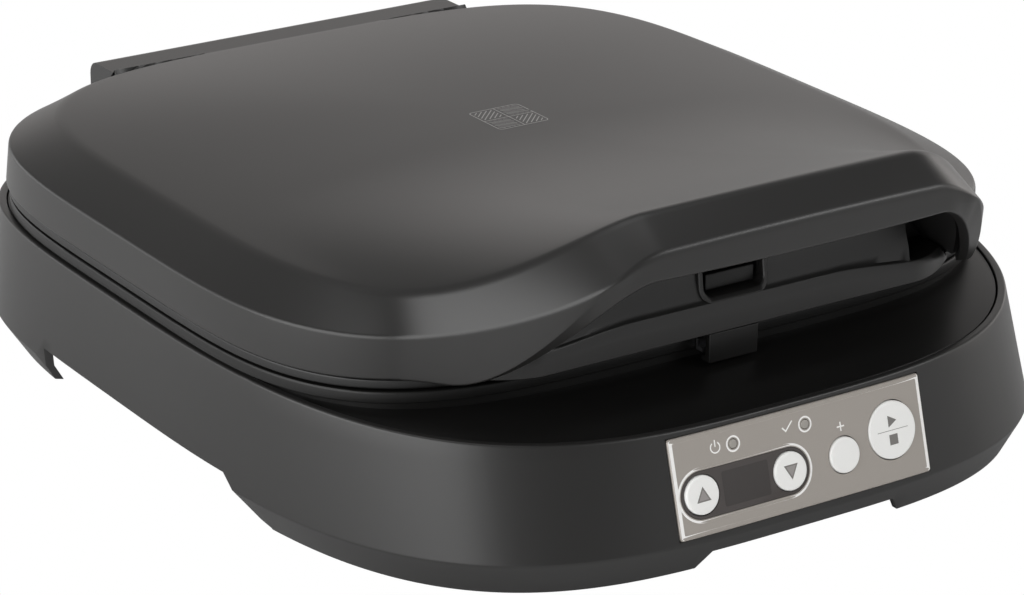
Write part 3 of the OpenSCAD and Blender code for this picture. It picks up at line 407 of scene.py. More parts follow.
BOARD = material("board_green", (0.02, 0.08, 0.035), 0.5)
RUBBER = material("rubber", (0.015, 0.015, 0.015), 0.7)
MARK = material("lid_print", (0.34, 0.335, 0.33), 0.5)

for node, mat in {
    "base_cover": DECK, "rubber_feet": RUBBER, "cover_screws": STEEL, "lower_plate_screws": STEEL,
    "lower_heating_element": TUBE, "lower_heat_shield": SHEET, "lower_shield_posts": STEEL,
    "lower_sensor": STEEL, "power_board": BOARD, "board_screws": STEEL, "cord_gland": RUBBER,
    "display_module": FRAME, "control_board": BOARD, "key_switches": STEEL,
    "hinge_brackets": STEEL, "hinge_pins": STEEL, "latch_keeper": STEEL,
    "upper_plate_screws": STEEL, "upper_heating_element": TUBE, "upper_heat_shield": SHEET,
    "upper_shield_posts": STEEL, "upper_sensor": STEEL, "latch_lever": DECK, "latch_pin": STEEL,
    "pocket_wall": BODY, "hinge_barrel": BODY, "lower_cooking_plate": COAT,
    "upper_cooking_plate": COAT,
}.items():
    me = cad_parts[node].data
    me.materials.clear()
    me.materials.append(mat)


# ---------------------------------------------------------------- lid shell
def climb(x, y):
    """How much the top panel rises towards the handle's crest."""
    reach = -curve_y(front_y(TOP, np.minimum(np.abs(x), TOP[0])), x, CREST_C)
    t = np.clip((-y - CLIMB_FROM) / (reach - CLIMB_FROM), 0, 1)
    return (curve_z(TOP_Z, x, CREST_C) - TOP_Z) * t ** 2


def crowned(r, f, drop=0.0):
    """A row of the top panel: the row r drawn in by the share f, on the crowned surface."""
    x, y = r[:, 0] * f, r[:, 1] * f
    return np.column_stack([x, y, TOP_Z + CROWN * (1 - f ** 2.5) + climb(x, y) - drop])


def build_lid():
    """Closed skin from the middle of the top, over the crest, the bevel and the wall, and back
    inside. The crest, the crease and the two lower lines sweep out over the handle bar."""
    gap, slot = BARREL + 0.3, BARREL + 9.0
    rg = Ring(rear_double=[gap, slot])
    t = LID_T
    crest = rg.swept(TOP, TOP_Z, CREST_C)
    crease = rg.swept(MID, CREASE_Z, BAR_C)
    x = crease[:, 0]
    edge = rg.swept(LOW, LID_Z + 0.6, EDGE_C)
    edge[:, 2] = np.minimum(edge[:, 2], crease[:, 2] - 0.8)
    under = rg.swept(grow(LOW, -0.8), LID_Z, UNDER_C)
    under[:, 2] = np.minimum(under[:, 2], edge[:, 2] - 0.6)
    # On the bar the lower outline lies half way down the front face
    w = (bar_part(x, 66, 84) * (crease[:, 1] < -100))[:, None]
    edge = edge * (1 - w) + (crease + (under - crease) * 0.5) * w
    under_in = rg.swept(grow(LOW, -t), LID_Z, inset_c(UNDER_C, t, 0))
    under_in[:, 2] = np.minimum(under_in[:, 2], edge[:, 2] - 0.6)
    edge_in = under_in + np.array([0, 0, 2.0])
    crease_in = rg.swept(grow(MID, -t), CREASE_Z - 1, inset_c(BAR_C, t, t + 0.6))
    crest_in = rg.swept(grow(TOP, -1), TOP_Z - t, inset_c(CREST_C, 1, t))
    fs = [0.04, 0.1, 0.18, 0.26, 0.34, 0.42, 0.5, 0.57, 0.64, 0.7, 0.76, 0.81, 0.86, 0.9, 0.935,
          0.965]
    rows = [crowned(crest, f) for f in fs] + [crest, crease, edge, under, under_in, edge_in,
                                              crease_in, crest_in, crowned(crest, 0.9, t),
                                              crowned(crest, 0.6, t), crowned(crest, 0.3, t)]
    on_bar = bar_part(x, 62, 100) * (crease[:, 1] < -100)
    radii = [None] * len(fs) + [3.0, 1.3 + 0.9 * on_bar, 0.7 + 1.5 * on_bar, 0.7 + 0.9 * on_bar,
                                0.5, None, None, None, None, None, None]
    # Room for the hinge block and, beside it, for the brackets
    stop, edge_z, bracket_top = 147.9, TOP_Z + 0.1, 79.5
    base_x = rg.xy(TOP)[:, 0]
    in_gap = rg.rear & rg.inside(base_x, gap)
    in_slot = rg.rear & ~in_gap & rg.inside(base_x, slot)
    rows, tags = fillet(rows, radii, 5)
    first_in = tags.index(len(fs) + 4)
    for i, r in enumerate(rows):
        over = in_gap & (r[:, 1] > stop)
        r[:, 1] = np.where(over, stop, r[:, 1])
        if i >= first_in:
            r[:, 2] = np.where(over, edge_z - t, r[:, 2])
        else:
            r[:, 2] = np.where(over & (r[:, 2] < edge_z), edge_z, r[:, 2])
        r[:, 2] = np.where(in_slot, np.maximum(r[:, 2], bracket_top), r[:, 2])
    v, f = skin(rows, first=np.array([0, 0, TOP_Z + CROWN]),
                last=np.array([0, 0, TOP_Z + CROWN - t]))
    ob = mesh_object("lid_shell_skin", v, f, BODY, "lid", 40)
    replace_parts(ob, "lid_shell")


build_lid()


# ---------------------------------------------------------------- underside of the handle
def build_underside():
    """Thin cover under the bar and the arms, thinner towards their ends."""
    back = RECESS_Y + 0.2
    half_x = np.concatenate([np.arange(0, 60, 4.0), np.arange(60, 109, 1.5), [109.0]])
    xs = np.concatenate([-half_x[:0:-1], half_x])
    c = inset_c(UNDER_C, LID_T + 0.3, 0)
    k = np.clip((np.abs(xs) - 75 + 13) / 12, 0, 1)
    z = curve_z(LID_Z, xs, UNDER_C) + 0.3
    y = curve_y(front_y(grow(LOW, -LID_T), xs), xs, c) + 2 * k
    dx, dz = np.sign(xs) * 2.2 * k, 2.2 * (1 - k * 0.8)
    bk = np.full(len(xs), back)
    rows = [np.column_stack([xs, y, z]), np.column_stack([xs, bk, z]),
            np.column_stack([xs + dx, bk, z + dz]), np.column_stack([xs + dx, y, z + dz])]
    m = len(xs)
    v = [p for r in rows for p in r]
    f = []
    for i in range(4):
        j = (i + 1) % 4
        for q in range(m - 1):
            f.append((i * m + q, i * m + q + 1, j * m + q + 1, j * m + q))
    f += [(0, m, 2 * m, 3 * m), (m - 1, 4 * m - 1, 3 * m - 1, 2 * m - 1)]
    ob = mesh_object("handle_inner_face", v, f, BODY, "lid", 40)
    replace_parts(ob, "handle_underside")


build_underside()


# ---------------------------------------------------------------- pocket behind the bar, latch
def prism(poly, x0, x1):
    """A (y, z) outline drawn out along x."""
    n = len(poly)
    v = [(x0, *p) for p in poly] + [(x1, *p) for p in poly]
    f = [tuple(range(n)), tuple(range(2 * n - 1, n - 1, -1))]
    f += [(i, n + i, n + (i + 1) % n, (i + 1) % n) for i in range(n)]
    return v, f


def joined(parts):
    """Several (points, faces) as one."""
    v, f = [], []
    for pv, pf in parts:
        b = len(v)
        v += [tuple(q) for q in pv]
        f += [tuple(b + i for i in t) for t in pf]
    return v, f


def bevelled(ob, width):
    """Rounds the edges of a piece."""
    bm = bmesh.new()
    bm.from_mesh(ob.data)
    edges = [e for e in bm.edges if len(e.link_faces) == 2 and e.calc_face_angle() > 0.6]
    bmesh.ops.bevel(bm, geom=edges, offset=width * 0.001, segments=3, profile=0.5,
                    affect="EDGES", clamp_overlap=True)
    bm.to_mesh(ob.data)
    bm.free()
    ob.data.shade_smooth()
    ob.data.set_sharp_from_angle(angle=math.radians(50))


POCKET_Y = -163.0               # front of the pocket wall
LEDGE_Y, LEDGE_TOP = -168.5, 81.6
WALL_HALF, RECESS_HALF = 83.0, 112.0
POCKET_T = 2.2
HOLE_X, HOLE_Z0, HOLE_Z1 = 13.4, 83.5, 97.0
RIM_X = 15.5                    # outer half width of the latch's rim


def rim_path(x, z, r):
    """A U of half width x, bottom z and corner radius r, as (x, z) from left to right."""
    pts = [(-x, HOLE_Z1 + 2.5), (-x, z + r)]
    pts += [(-x + r - r * math.cos(a), z + r - r * math.sin(a))
            for a in np.linspace(0.2, math.pi / 2, 7)]
    pts += [(0.0, z)]
    return pts + [(-px, pz) for px, pz in pts[:-1][::-1]]


def latch_rim():
    """Raised rim round the latch tab, open at the top, on the leaning pocket wall."""
    def lean(z, out):
        y = np.interp(z, [LEDGE_TOP, HOLE_Z0, 90.0, HOLE_Z1],
                      [-167.4, -165.9, -164.3, POCKET_Y - 0.3])
        return y - out

    outer, inner = rim_path(RIM_X, 81.6, 5.0), rim_path(RIM_X - 2.0, 83.6, 3.4)
    soft_o, soft_i = rim_path(RIM_X - 0.45, 82.05, 4.6), rim_path(RIM_X - 1.6, 83.2, 3.8)
    sections = [[(x, lean(z, out), z) for x, z in path]
                for path, out in ((outer, -1.0), (outer, 0.8), (soft_o, 1.2), (soft_i, 1.2),
                                  (inner, 0.8), (inner, -6.5))]
    n = len(outer)
    f = [(i * n + q, i * n + q + 1, (i + 1) * n + q + 1, (i + 1) * n + q)
         for i in range(len(sections) - 1) for q in range(n - 1)]
    return [q for r in sections for q in r], f


def build_pocket():
    half_x = np.concatenate([np.arange(0, 12, 3.0), [HOLE_X], np.arange(16, 78, 4.0),
                             np.arange(79, RECESS_HALF + 0.1, 0.8)])
    xs = np.concatenate([-half_x[:0:-1], half_x])
    ax = np.abs(xs)
    roof = curve_z(LID_Z, xs, UNDER_C) + 0.5
    low = front_y(LOW, xs)
    front = low + (LEDGE_Y - low) * bar_part(xs, WALL_HALF, 122.0)
    up = np.minimum(LEDGE_TOP - 3.4 * smooth((ax - 45) / 45), roof - 1.5)
    b = smooth((ax - WALL_HALF + 1.5) / 3.6)
    flare = smooth((ax - WALL_HALF + 6) / 8)
    at_hole = ax < HOLE_X + 0.1
    inner_y = np.where(at_hole, -162.5, low + 1.5)

    def row(y, z):
        return np.column_stack([xs, y, np.minimum(z, roof)])

    def wall(mid, z):
        return row(mid + (RECESS_Y - mid) * b, z)

    flat = np.full(len(xs), 1.0)
    # Under the ledge, up its front, back over its crease, up the wall to the roof
    rows = [row(inner_y, flat * LID_Z), row(front + 0.4, flat * LID_Z),
            row(front, flat * (LID_Z + 0.4)), row(front + 0.25, (LID_Z + up) / 2),
            row(front + 0.5, up - 0.5), row(front + 0.9, up),
            wall(LEDGE_Y + 1.7 - 1.2 * flare, up + 0.5 + 0.3 * b),
            wall(LEDGE_Y + 2.6 - 1.2 * flare, flat * HOLE_Z0), wall(-164.3, flat * 90.0),
            wall(POCKET_Y - 0.3, flat * HOLE_Z1), wall(POCKET_Y, flat * 200.0)]
    # The tab's hole lies between the rows 7 and 9 and their twins behind
    first = len(rows)
    open_from = {7, 8, first + 1, first + 2}
    rows += [r + np.array([0, POCKET_T, 0]) for r in rows[:2:-1]]
    rows += [row(front + 2.6, flat * (LID_Z + 2.0)), row(inner_y, flat * (LID_Z + 2.0))]
    m, k = len(xs), len(rows)
    f = [(i * m + q, i * m + q + 1, (i + 1) % k * m + q + 1, (i + 1) % k * m + q)
         for i in range(k) for q in range(m - 1)
         if not (i in open_from and at_hole[q] and at_hole[q + 1])]
    f.append(tuple(i * m for i in range(k)))
    f.append(tuple(i * m + m - 1 for i in range(k))[::-1])
    lug = [(-161.5, 74.6), (-154.9, 74.6), (-154.9, 81.4), (-161.5, 81.4)]
    v, f = joined([([tuple(q) for r in rows for q in r], f), latch_rim(),
                   prism(lug, -18.0, -14.2), prism(lug, 14.2, 18.0)])
    ob = mesh_object("pocket_face", v, f, BODY, "lid", 40)
    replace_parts(ob, "pocket_wall")


def build_latch():
    """Thumb tab above the pin, hooked leg below it, as one outline."""
    y0, leg = -159.8, -167.4    # fronts of the upright and of the leg
    nose = WALL_Z - 1.9
    body = [(-163.6, 84.6), (y0, 84.6), (y0, 69.1), (leg, 69.1), (leg, nose), (-162.0, nose),
            (-162.0, nose + 1.6), (leg + 3, nose + 2.4), (leg + 3, 66.1), (y0 + 3, 66.1),
            (y0 + 3, 91.0), (-163.6, 91.0)]
    v, f = prism(body, -11.0, 11.0)
    ob = mesh_object("latch_piece", v, f, DECK, "latch", 40)
    bevelled(ob, 0.6)
    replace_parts(ob, "latch_lever")


build_pocket()
build_latch()


# ---------------------------------------------------------------- base shell
def angle_for(o, y):
    """Angle at which the front half of an outline reaches y."""
    return math.asin((abs(y) / o[1]) ** (o[3] / 2))


def between(a, za, b, zb, z):
    t = (z - za) / (zb - za)
    return a + (b - a) * t[:, None]


def build_base():
    # Arches in the lower edge: where each leaves the foot, its run and its height. The front
    # one goes by |x|, the two ends of the side ones by y on the outline at their top.
    foot_x, run_x, arch_x = 46.1, 5.1, 6.8
    foot_y, run_y, arch_y = (-100.0, 71.5), (19.0, 9.5), 18.3
    crown = tuple((SKIRT[i] + (WALL[i] - SKIRT[i]) * 5 / 44.8) for i in range(5))
    rg = Ring(front_extra=[foot_x - run_x, foot_x], front_double=[PANEL_HALF],
              rear_double=[NOTCH_X],
              angles=[angle_for(FOOT, foot_y[0]), angle_for(crown, foot_y[0] + run_y[0])])
    skirt, top = rg.flat(SKIRT, SKIRT_Z), rg.dipped(WALL, 0)

    def outer(z, inset=0.0):
        fo = rg.flat(grow(FOOT, -inset), FOOT_Z)
        sk = rg.flat(grow(SKIRT, -inset), SKIRT_Z)
        to = rg.dipped(grow(WALL, -inset), 0)
        z = np.asarray(z, float) + np.zeros(rg.n)
        lower = between(fo, FOOT_Z, sk, SKIRT_Z, z)
        tz = (z - SKIRT_Z) / (to[:, 2] - SKIRT_Z)
        upper = sk + (to - sk) * tz[:, None]
        return np.where((z < SKIRT_Z)[:, None], lower, upper)

    ax = np.abs(skirt[:, 0])
    y = rg.xy(crown)[:, 1]
    side = ~rg.front & ~rg.rear
    past = np.where(y < 0, (y - foot_y[0]) / run_y[0], (foot_y[1] - y) / run_y[1])
    zl = np.where(rg.front, np.clip((foot_x - ax) / run_x, 0, 1) * arch_x, 0.0)
    zl = FOOT_Z + np.where(side, np.clip(past, 0, 1) * arch_y, zl)
    notch = rg.rear & rg.inside(top[:, 0], NOTCH_X)
    zt = np.where(notch, 55.5, top[:, 2])
    # The key panel's opening is level on the flat panel, so it falls off on the curved wall
    falls = front_y(WALL, np.minimum(np.abs(skirt[:, 0]), 90)) - front_y(WALL, 0)
    z_hi = np.where(rg.front, 52.29 - falls * SL, 49.6)
    z_lo = np.maximum(np.where(rg.front, 16.44 - falls * SL, 15.2), 15.2)

    def clamped(z, inset=0.0):
        return outer(np.minimum(np.maximum(z, zl), zt), inset)

    outer_rows = [clamped(zl), clamped(np.full(rg.n, SKIRT_Z)), clamped(z_lo), clamped(z_lo + 9),
                  clamped(z_lo + 18), clamped(z_lo + 27), clamped(z_hi), clamped(zt)]
    t_in = clamped(zt, BASE_WALL)
    inner_rows = [t_in, clamped(z_hi, BASE_WALL), clamped(z_lo, BASE_WALL),
                  clamped(np.full(rg.n, SKIRT_Z), BASE_WALL), clamped(zl, BASE_WALL)]
    rows = outer_rows + inner_rows
    radii = [0.5, 1.3, None, None, None, None, None, 1.1, 0.8, None, None, None, 0.4]
    out, tags = fillet(rows, radii, 4, closed=True)
    n, m = rg.n, len(out)
    v = [p for r in out for p in r]
    # The window: no skin between the rows tagged 2 and 6, nor between 9 and 10, within PANEL_HALF
    o_lo, o_hi = tags.index(2), tags.index(6)
    i_hi, i_lo = tags.index(9), tags.index(10)
    mid_x = skirt[:, 0]
    inside = rg.front & (np.abs(mid_x) < PANEL_HALF + 0.05)
    dbl = np.abs(np.abs(mid_x) - PANEL_HALF) < 0.05
    inside &= ~(dbl & (rg.twins == 1))
    f = []
    for i in range(m):
        j = (i + 1) % m
        for k in range(n):
            l = (k + 1) % n
            if inside[k] and inside[l] and (o_lo <= i < o_hi or i_hi <= i < i_lo):
                continue
            f.append((i * n + k, i * n + l, j * n + l, j * n + k))
    cols = [k for k in range(n) if inside[k]]
    for k in cols:
        l = (k + 1) % n
        if inside[l]:
            f.append((o_lo * n + k, i_lo * n + k, i_lo * n + l, o_lo * n + l))
            f.append((o_hi * n + k, o_hi * n + l, i_hi * n + l, i_hi * n + k))
    for k in cols:
        if dbl[k]:
            ladder = [i * n + k for i in range(o_lo, o_hi + 1)]
            f.append(tuple(ladder + [i_hi * n + k, i_lo * n + k]))
    ob = mesh_object("base_shell_skin", v, f, BODY, None, 32)
    gx, gy, gz, gr = [q * 0.001 for q in GLAND]
    me = bpy.data.meshes.new("cutter")
    bm = bmesh.new()
    bmesh.ops.create_cone(bm, cap_ends=True, segments=64, radius1=gr, radius2=gr, depth=0.04)
    bm.transform(Matrix.Rotation(math.radians(90), 4, "X"))
    bmesh.ops.translate(bm, vec=Vector((gx, gy + LID_CY * 0.001, gz)), verts=bm.verts)
    bm.to_mesh(me)
    bm.free()
    cutter = bpy.data.objects.new("cutter", me)
    bpy.context.scene.collection.objects.link(cutter)
    take_out(ob, cutter)
    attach(ob, "base")
    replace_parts(ob, "base_shell")


build_base()


# ---------------------------------------------------------------- rings with a closed section
def closed_ring(name, rows, radii, mat, body, node, clamp):
    """A ring whose section is closed; clamp edits each of its finished rows."""
    out = fillet(rows, radii, 3, closed=True)[0]
    for r in out:
        clamp(r)
    v, f = skin(out, closed_rows=True)
    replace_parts(mesh_object(name, v, f, mat, body), node)


def build_deck():
    rg = Ring(rear_double=[NOTCH_X])
    edge, rim_in, deck_in = grow(WALL, -BASE_WALL - 0.3), grow(RIM, -2.5), grow(RIM, -12)
    seat, sink, lip, drop = -3.7, -0.7, WALL_Z + 0.9, LEDGE_Z - 9
    rear_stop = 150.5

    def clamp(r):
        """Straight rear edge in front of the hinge notch."""
        hit = rg.rear & ((np.abs(r[:, 0]) < NOTCH_X - 0.2) | (rg.twins == 0))
        r[:, 1] = np.where(hit, np.minimum(r[:, 1], rear_stop), r[:, 1])

    rows = [rg.dipped(edge, seat), rg.dipped(edge, sink), rg.dipped(rim_in, sink),
            rg.dipped(deck_in, sink), rg.dipped(deck_in, seat)]
    closed_ring("deck_ring", rows, [None, 0.5, None, None, None], DECK, "base", "base_deck",
                clamp)
    rows = [rg.dipped(rim_in, sink), rg.flat(rim_in, lip), rg.flat(RIM, lip), rg.flat(RIM, RIM_Z),
            rg.flat(grow(PLATE, PLATE_GAP), RIM_Z), rg.flat(grow(PLATE, PLATE_GAP), LEDGE_Z),
            rg.flat(grow(PLATE, -6), LEDGE_Z), rg.flat(grow(PLATE, -6), drop),
            rg.flat(grow(PLATE, -3.5), drop), rg.flat(grow(PLATE, -3.5), LEDGE_Z - 3),
            rg.flat(deck_in, LEDGE_Z - 3), rg.dipped(deck_in, sink)]
    closed_ring("bezel_ring", rows, [None, None, 0.5, 1.0, 0.6] + [None] * 7, DECK, "base",
                "plate_bezel", clamp)


def build_frame():
    """Ring under the lid, straight in front of the hinge and notched for the latch's leg."""
    leg_x, leg_y, hinge_x, hinge_y = 14.0, -149.5, 96.5, 151.5
    rg = Ring(front_double=[leg_x], rear_double=[hinge_x])
    inn = grow(LOW, -3.4)
    z0, z1, z2 = FRAME_Z, FRAME_Z + 3.5, UPPER_LEDGE_Z + 3
    rows = [rg.flat(RIM, z0), rg.flat(RIM, z1), rg.flat(inn, z1), rg.flat(inn, z2),
            rg.flat(grow(PLATE, -6), z2), rg.flat(grow(PLATE, -6), UPPER_LEDGE_Z),
            rg.flat(grow(PLATE, PLATE_GAP), UPPER_LEDGE_Z), rg.flat(grow(PLATE, PLATE_GAP), z0)]
    radii = [0.8, 0.6, None, 0.6, None, None, None, 0.6]

    def clamp(r):
        hit = rg.rear & ((np.abs(r[:, 0]) < hinge_x - 0.2) | (rg.twins == 0))
        r[:, 1] = np.where(hit, np.minimum(r[:, 1], hinge_y), r[:, 1])
        hit = rg.front & ((np.abs(r[:, 0]) < leg_x - 0.1) | (rg.twins == 0))
        r[:, 1] = np.where(hit, np.maximum(r[:, 1], leg_y), r[:, 1])

    closed_ring("lid_frame_ring", rows, radii, FRAME, "lid", "lid_frame", clamp)


build_deck()
build_frame()


# ---------------------------------------------------------------- the key panel's surface
PANEL_Z = 52.0                  # top edge of the key panel
PANEL_TOP_Y = -WALL[1] - RUN * (WALL_Z - DROP - PANEL_Z) / RISE


def fall(x):
    """How far the curved wall lies behind its middle."""
    return float(front_y(WALL, x) - front_y(WALL, 0))


def on_panel(x, v, w):
    """Flat panel frame: x right, v down the slope, w outward."""
    return (x, PANEL_TOP_Y - v * SL - w * CL, PANEL_Z - v * CL + w * SL)


def wall_at(x, z):
    """y of the base's front wall."""
    ys, yt = float(front_y(SKIRT, x)), float(front_y(WALL, x))
    top = float(wall_top(yt))
    return ys + (yt - ys) * (z - SKIRT_Z) / (top - SKIRT_Z)


def on_wall(x, v, w):
    """The same, following the curved wall: w is the height over the wall's skin."""
    z = PANEL_Z - v * CL - fall(x) * SL
    y = wall_at(x, z)
    g = (wall_at(x + 0.5, z) - wall_at(x - 0.5, z)) / 1.0
    n = np.array([g, -1.0, SL / CL])
    n /= np.linalg.norm(n)
    return np.array([x, y, z]) + n * w


def dense(poly, step=1.5):
    """The outline with points added at the given spacing."""
    out = []
    for i, p in enumerate(poly):
        q = poly[(i + 1) % len(poly)]
        d = math.dist(p, q)
        k = max(1, int(d / step))
        for j in range(k):
            out.append((p[0] + (q[0] - p[0]) * j / k, p[1] + (q[1] - p[1]) * j / k))
    return out


def rect(x0, y0, x1, y1):
    return [(x0, y0), (x1, y0), (x1, y1), (x0, y1)]


def circle(cx, cy, r, n=48):
    return [(cx + r * math.cos(2 * math.pi * i / n), cy + r * math.sin(2 * math.pi * i / n))
            for i in range(n)]


def rounded(x0, y0, x1, y1, r, n=8):
    out = []
    for cx, cy, a0 in ((x1 - r, y1 - r, 0), (x0 + r, y1 - r, 90), (x0 + r, y0 + r, 180),
                       (x1 - r, y0 + r, 270)):
        for i in range(n + 1):
            a = math.radians(a0 + 90 * i / n)
            out.append((cx + r * math.cos(a), cy + r * math.sin(a)))
    return out


def patch(loops, at, cells=None):
    """A flat shape with holes, laid on a surface: outer outline, then holes.

    cells: spacing of the cuts that let a large shape follow a curved surface.
    """
    pts = [[Vector((p[0], p[1], 0)) for p in dense(l)] for l in loops]
    tris = tessellate_polygon(pts)
    flat_pts = [p for l in pts for p in l]
    bm = bmesh.new()
    bv = [bm.verts.new(p) for p in flat_pts]
    for t in tris:
        if len(set(t)) == 3:
            bm.faces.new([bv[i] for i in t])
    if cells:
        lo = [min(p[i] for p in flat_pts) for i in (0, 1)]
        hi = [max(p[i] for p in flat_pts) for i in (0, 1)]
        for i in (0, 1):
            c = lo[i] + cells
            while c < hi[i]:
                bmesh.ops.bisect_plane(bm, geom=bm.verts[:] + bm.edges[:] + bm.faces[:], dist=1e-5,
                                       plane_co=(c, c, 0), plane_no=(1 - i, i, 0))
                c += cells
    bm.verts.index_update()
    v = [at(q.co.x, q.co.y) for q in bm.verts]
    f = [tuple(q.index for q in g.verts) for g in bm.faces]
    bm.free()
    return v, f


def decal(name, shapes, mat, body):
    """One thin open piece from several shapes, all facing outward or up."""
    v, f = [], []
    for sv, sf in shapes:
        b = len(v)
        v += [np.array(p) for p in sv]
        f += [tuple(b + i for i in t) for t in sf]
    ob = mesh_object(name, np.array(v), f, mat, body, clean=False)
    me = ob.data
    bm = bmesh.new()
    bm.from_mesh(me)
    bmesh.ops.recalc_face_normals(bm, faces=bm.faces)
    want = Vector((0, -1, 0.3)) if body != "lid" else Vector((0, 0, 1))
    flip = [p for p in bm.faces if p.normal.dot(want) < 0]
    if flip:
        bmesh.ops.reverse_faces(bm, faces=flip)
    bm.to_mesh(me)
    bm.free()
    return ob


# Places of the keys and lamps, as x and the way down the slope
UP, DOWN, MORE, START = (-45.6, 22.0), (-7.4, 22.0), (17.3, 21.7), (40.2, 17.6)
POWER, READY = (-30.0, 6.9), (1.8, 6.9)
PANEL_W, PANEL_H = 113.0, 36.6
# Heights over the wall's skin
PLATE_UP, PRINT_UP, WINDOW_UP, LCD_UP, PANEL_BACK = 0.7, 0.74, 0.62, 0.66, -2.0
CELL = 3.0                      # spacing of the cuts in the curved plates


def framed(d, r, n):
    """The panel's outline, d further in."""
    return rounded(-PANEL_W / 2 + d, d, PANEL_W / 2 - d, PANEL_H - d, r, n)


def pill(r, n):
    """A long hole or line round both arrow keys, at a distance r from their centres."""
    return rounded(UP[0] - r, UP[1] - r, DOWN[0] + r, UP[1] + r, r, n)


def at_height(w):
    return lambda x, y: on_wall(x, y, w)


def over_flat(w):
    return lambda x, y: on_panel(x, y, w)


def edge_wall(loop, w):
    """The wall round an outline, from w down to PANEL_BACK."""
    loop = dense(loop)
    k = len(loop)
    v = [on_wall(*p, w) for p in loop] + [on_wall(*p, PANEL_BACK) for p in loop]
    return v, [(i, (i + 1) % k, k + (i + 1) % k, k + i) for i in range(k)]


def resample(poly, count):
    p = np.array(poly + [poly[0]])
    d = np.concatenate([[0], np.cumsum(np.linalg.norm(np.diff(p, axis=0), axis=1))])
    t = np.linspace(0, d[-1], count, endpoint=False)
    return [(float(np.interp(q, d, p[:, 0])), float(np.interp(q, d, p[:, 1]))) for q in t]


def build_fascia():
    """Curved plate with holes, its outer edge eased and turned back to the wall."""
    holes = [pill(8.7, 12), circle(*START, 11.15, 64), circle(*MORE, 7.05, 48),
             circle(*POWER, 1.9, 24), circle(*READY, 1.9, 24)]
    outer, rim = framed(0, 0.8, 4), framed(0.35, 0.5, 4)
    shapes = [patch([rim] + holes, at_height(PLATE_UP), CELL)]
    n = 240
    o, r = resample(outer, n), resample(rim, n)
    v = [on_wall(*p, PLATE_UP) for p in r]
    v += [on_wall(*p, PLATE_UP - 0.3) for p in o] + [on_wall(*p, PANEL_BACK) for p in o]
    f = []
    for i in range(n):
        j = (i + 1) % n
        f += [(i, j, n + j, n + i), (n + i, n + j, 2 * n + j, 2 * n + i)]
    shapes += [(v, f)] + [edge_wall(h, PLATE_UP) for h in holes]
    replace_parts(decal("panel_plate", shapes, FASCIA, "base"), "panel_fascia")


build_fascia()


def arc_band(cx, cy, r, w, a0, a1, n=28):
    """Part of a ring of width w, its angles from straight up."""
    ang = [math.radians(a0 + (a1 - a0) * i / n) for i in range(n + 1)]
    return ([(cx + r * math.sin(a), cy - r * math.cos(a)) for a in ang]
            + [(cx + (r - w) * math.sin(a), cy - (r - w) * math.cos(a)) for a in ang[::-1]])


def prints():
    """Pale lines, and generic signs in place of the words."""
    at = at_height(PRINT_UP)
    shapes = [patch([framed(0.4, 0.8, 6), framed(1.75, 0.5, 6)], at),
              patch([pill(9.95, 14), pill(9.1, 14)], at)]
    for c in (POWER, READY):
        shapes.append(patch([circle(*c, 3.0, 32), circle(*c, 2.35, 32)], at))
    decal("panel_lines", shapes, LINE, "base")

    # Standby beside the first lamp, a tick beside the second, a plus over the plain key
    standby = [arc_band(-37.6, 6.6, 2.2, 0.5, 35, 325), rect(-37.85, 3.9, -37.35, 6.4)]
    tick = [(-8.6, 6.3), (-8.15, 5.9), (-6.9, 7.2), (-3.9, 4.2), (-3.5, 4.6), (-6.9, 8.0)]
    x, y, w, r = MORE[0], 11.2, 0.28, 1.7
    plus = [(x - w, y - r), (x + w, y - r), (x + w, y - w), (x + r, y - w), (x + r, y + w),
            (x + w, y + w), (x + w, y + r), (x - w, y + r), (x - w, y + w), (x - r, y + w),
            (x - r, y - w), (x - w, y - w)]
    decal("panel_signs", [patch([loop], at) for loop in standby + [tick, plus]], LINE, "base")


prints()


def build_window():
    loops = [pill(8.5, 14), circle(*UP, 7.5, 64), circle(*DOWN, 7.5, 64)]
    shapes = [patch(loops, at_height(WINDOW_UP), CELL)]
    shapes += [edge_wall(h, WINDOW_UP) for h in loops]
    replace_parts(decal("window_plate", shapes, WINDOW, "base"), "display_window")
    lcd = rounded(-36.5, 15.6, -16.5, 28.4, 0.8, 4)
    decal("display_glass", [patch([lcd], at_height(LCD_UP), CELL)], LCD, "base")


build_window()


def local_to_panel(p):
    """Places a lathed piece's (x, y, h) at a point of the flat panel."""
    return lambda x, y, h: on_panel(p[0] + x, p[1] - y, h)


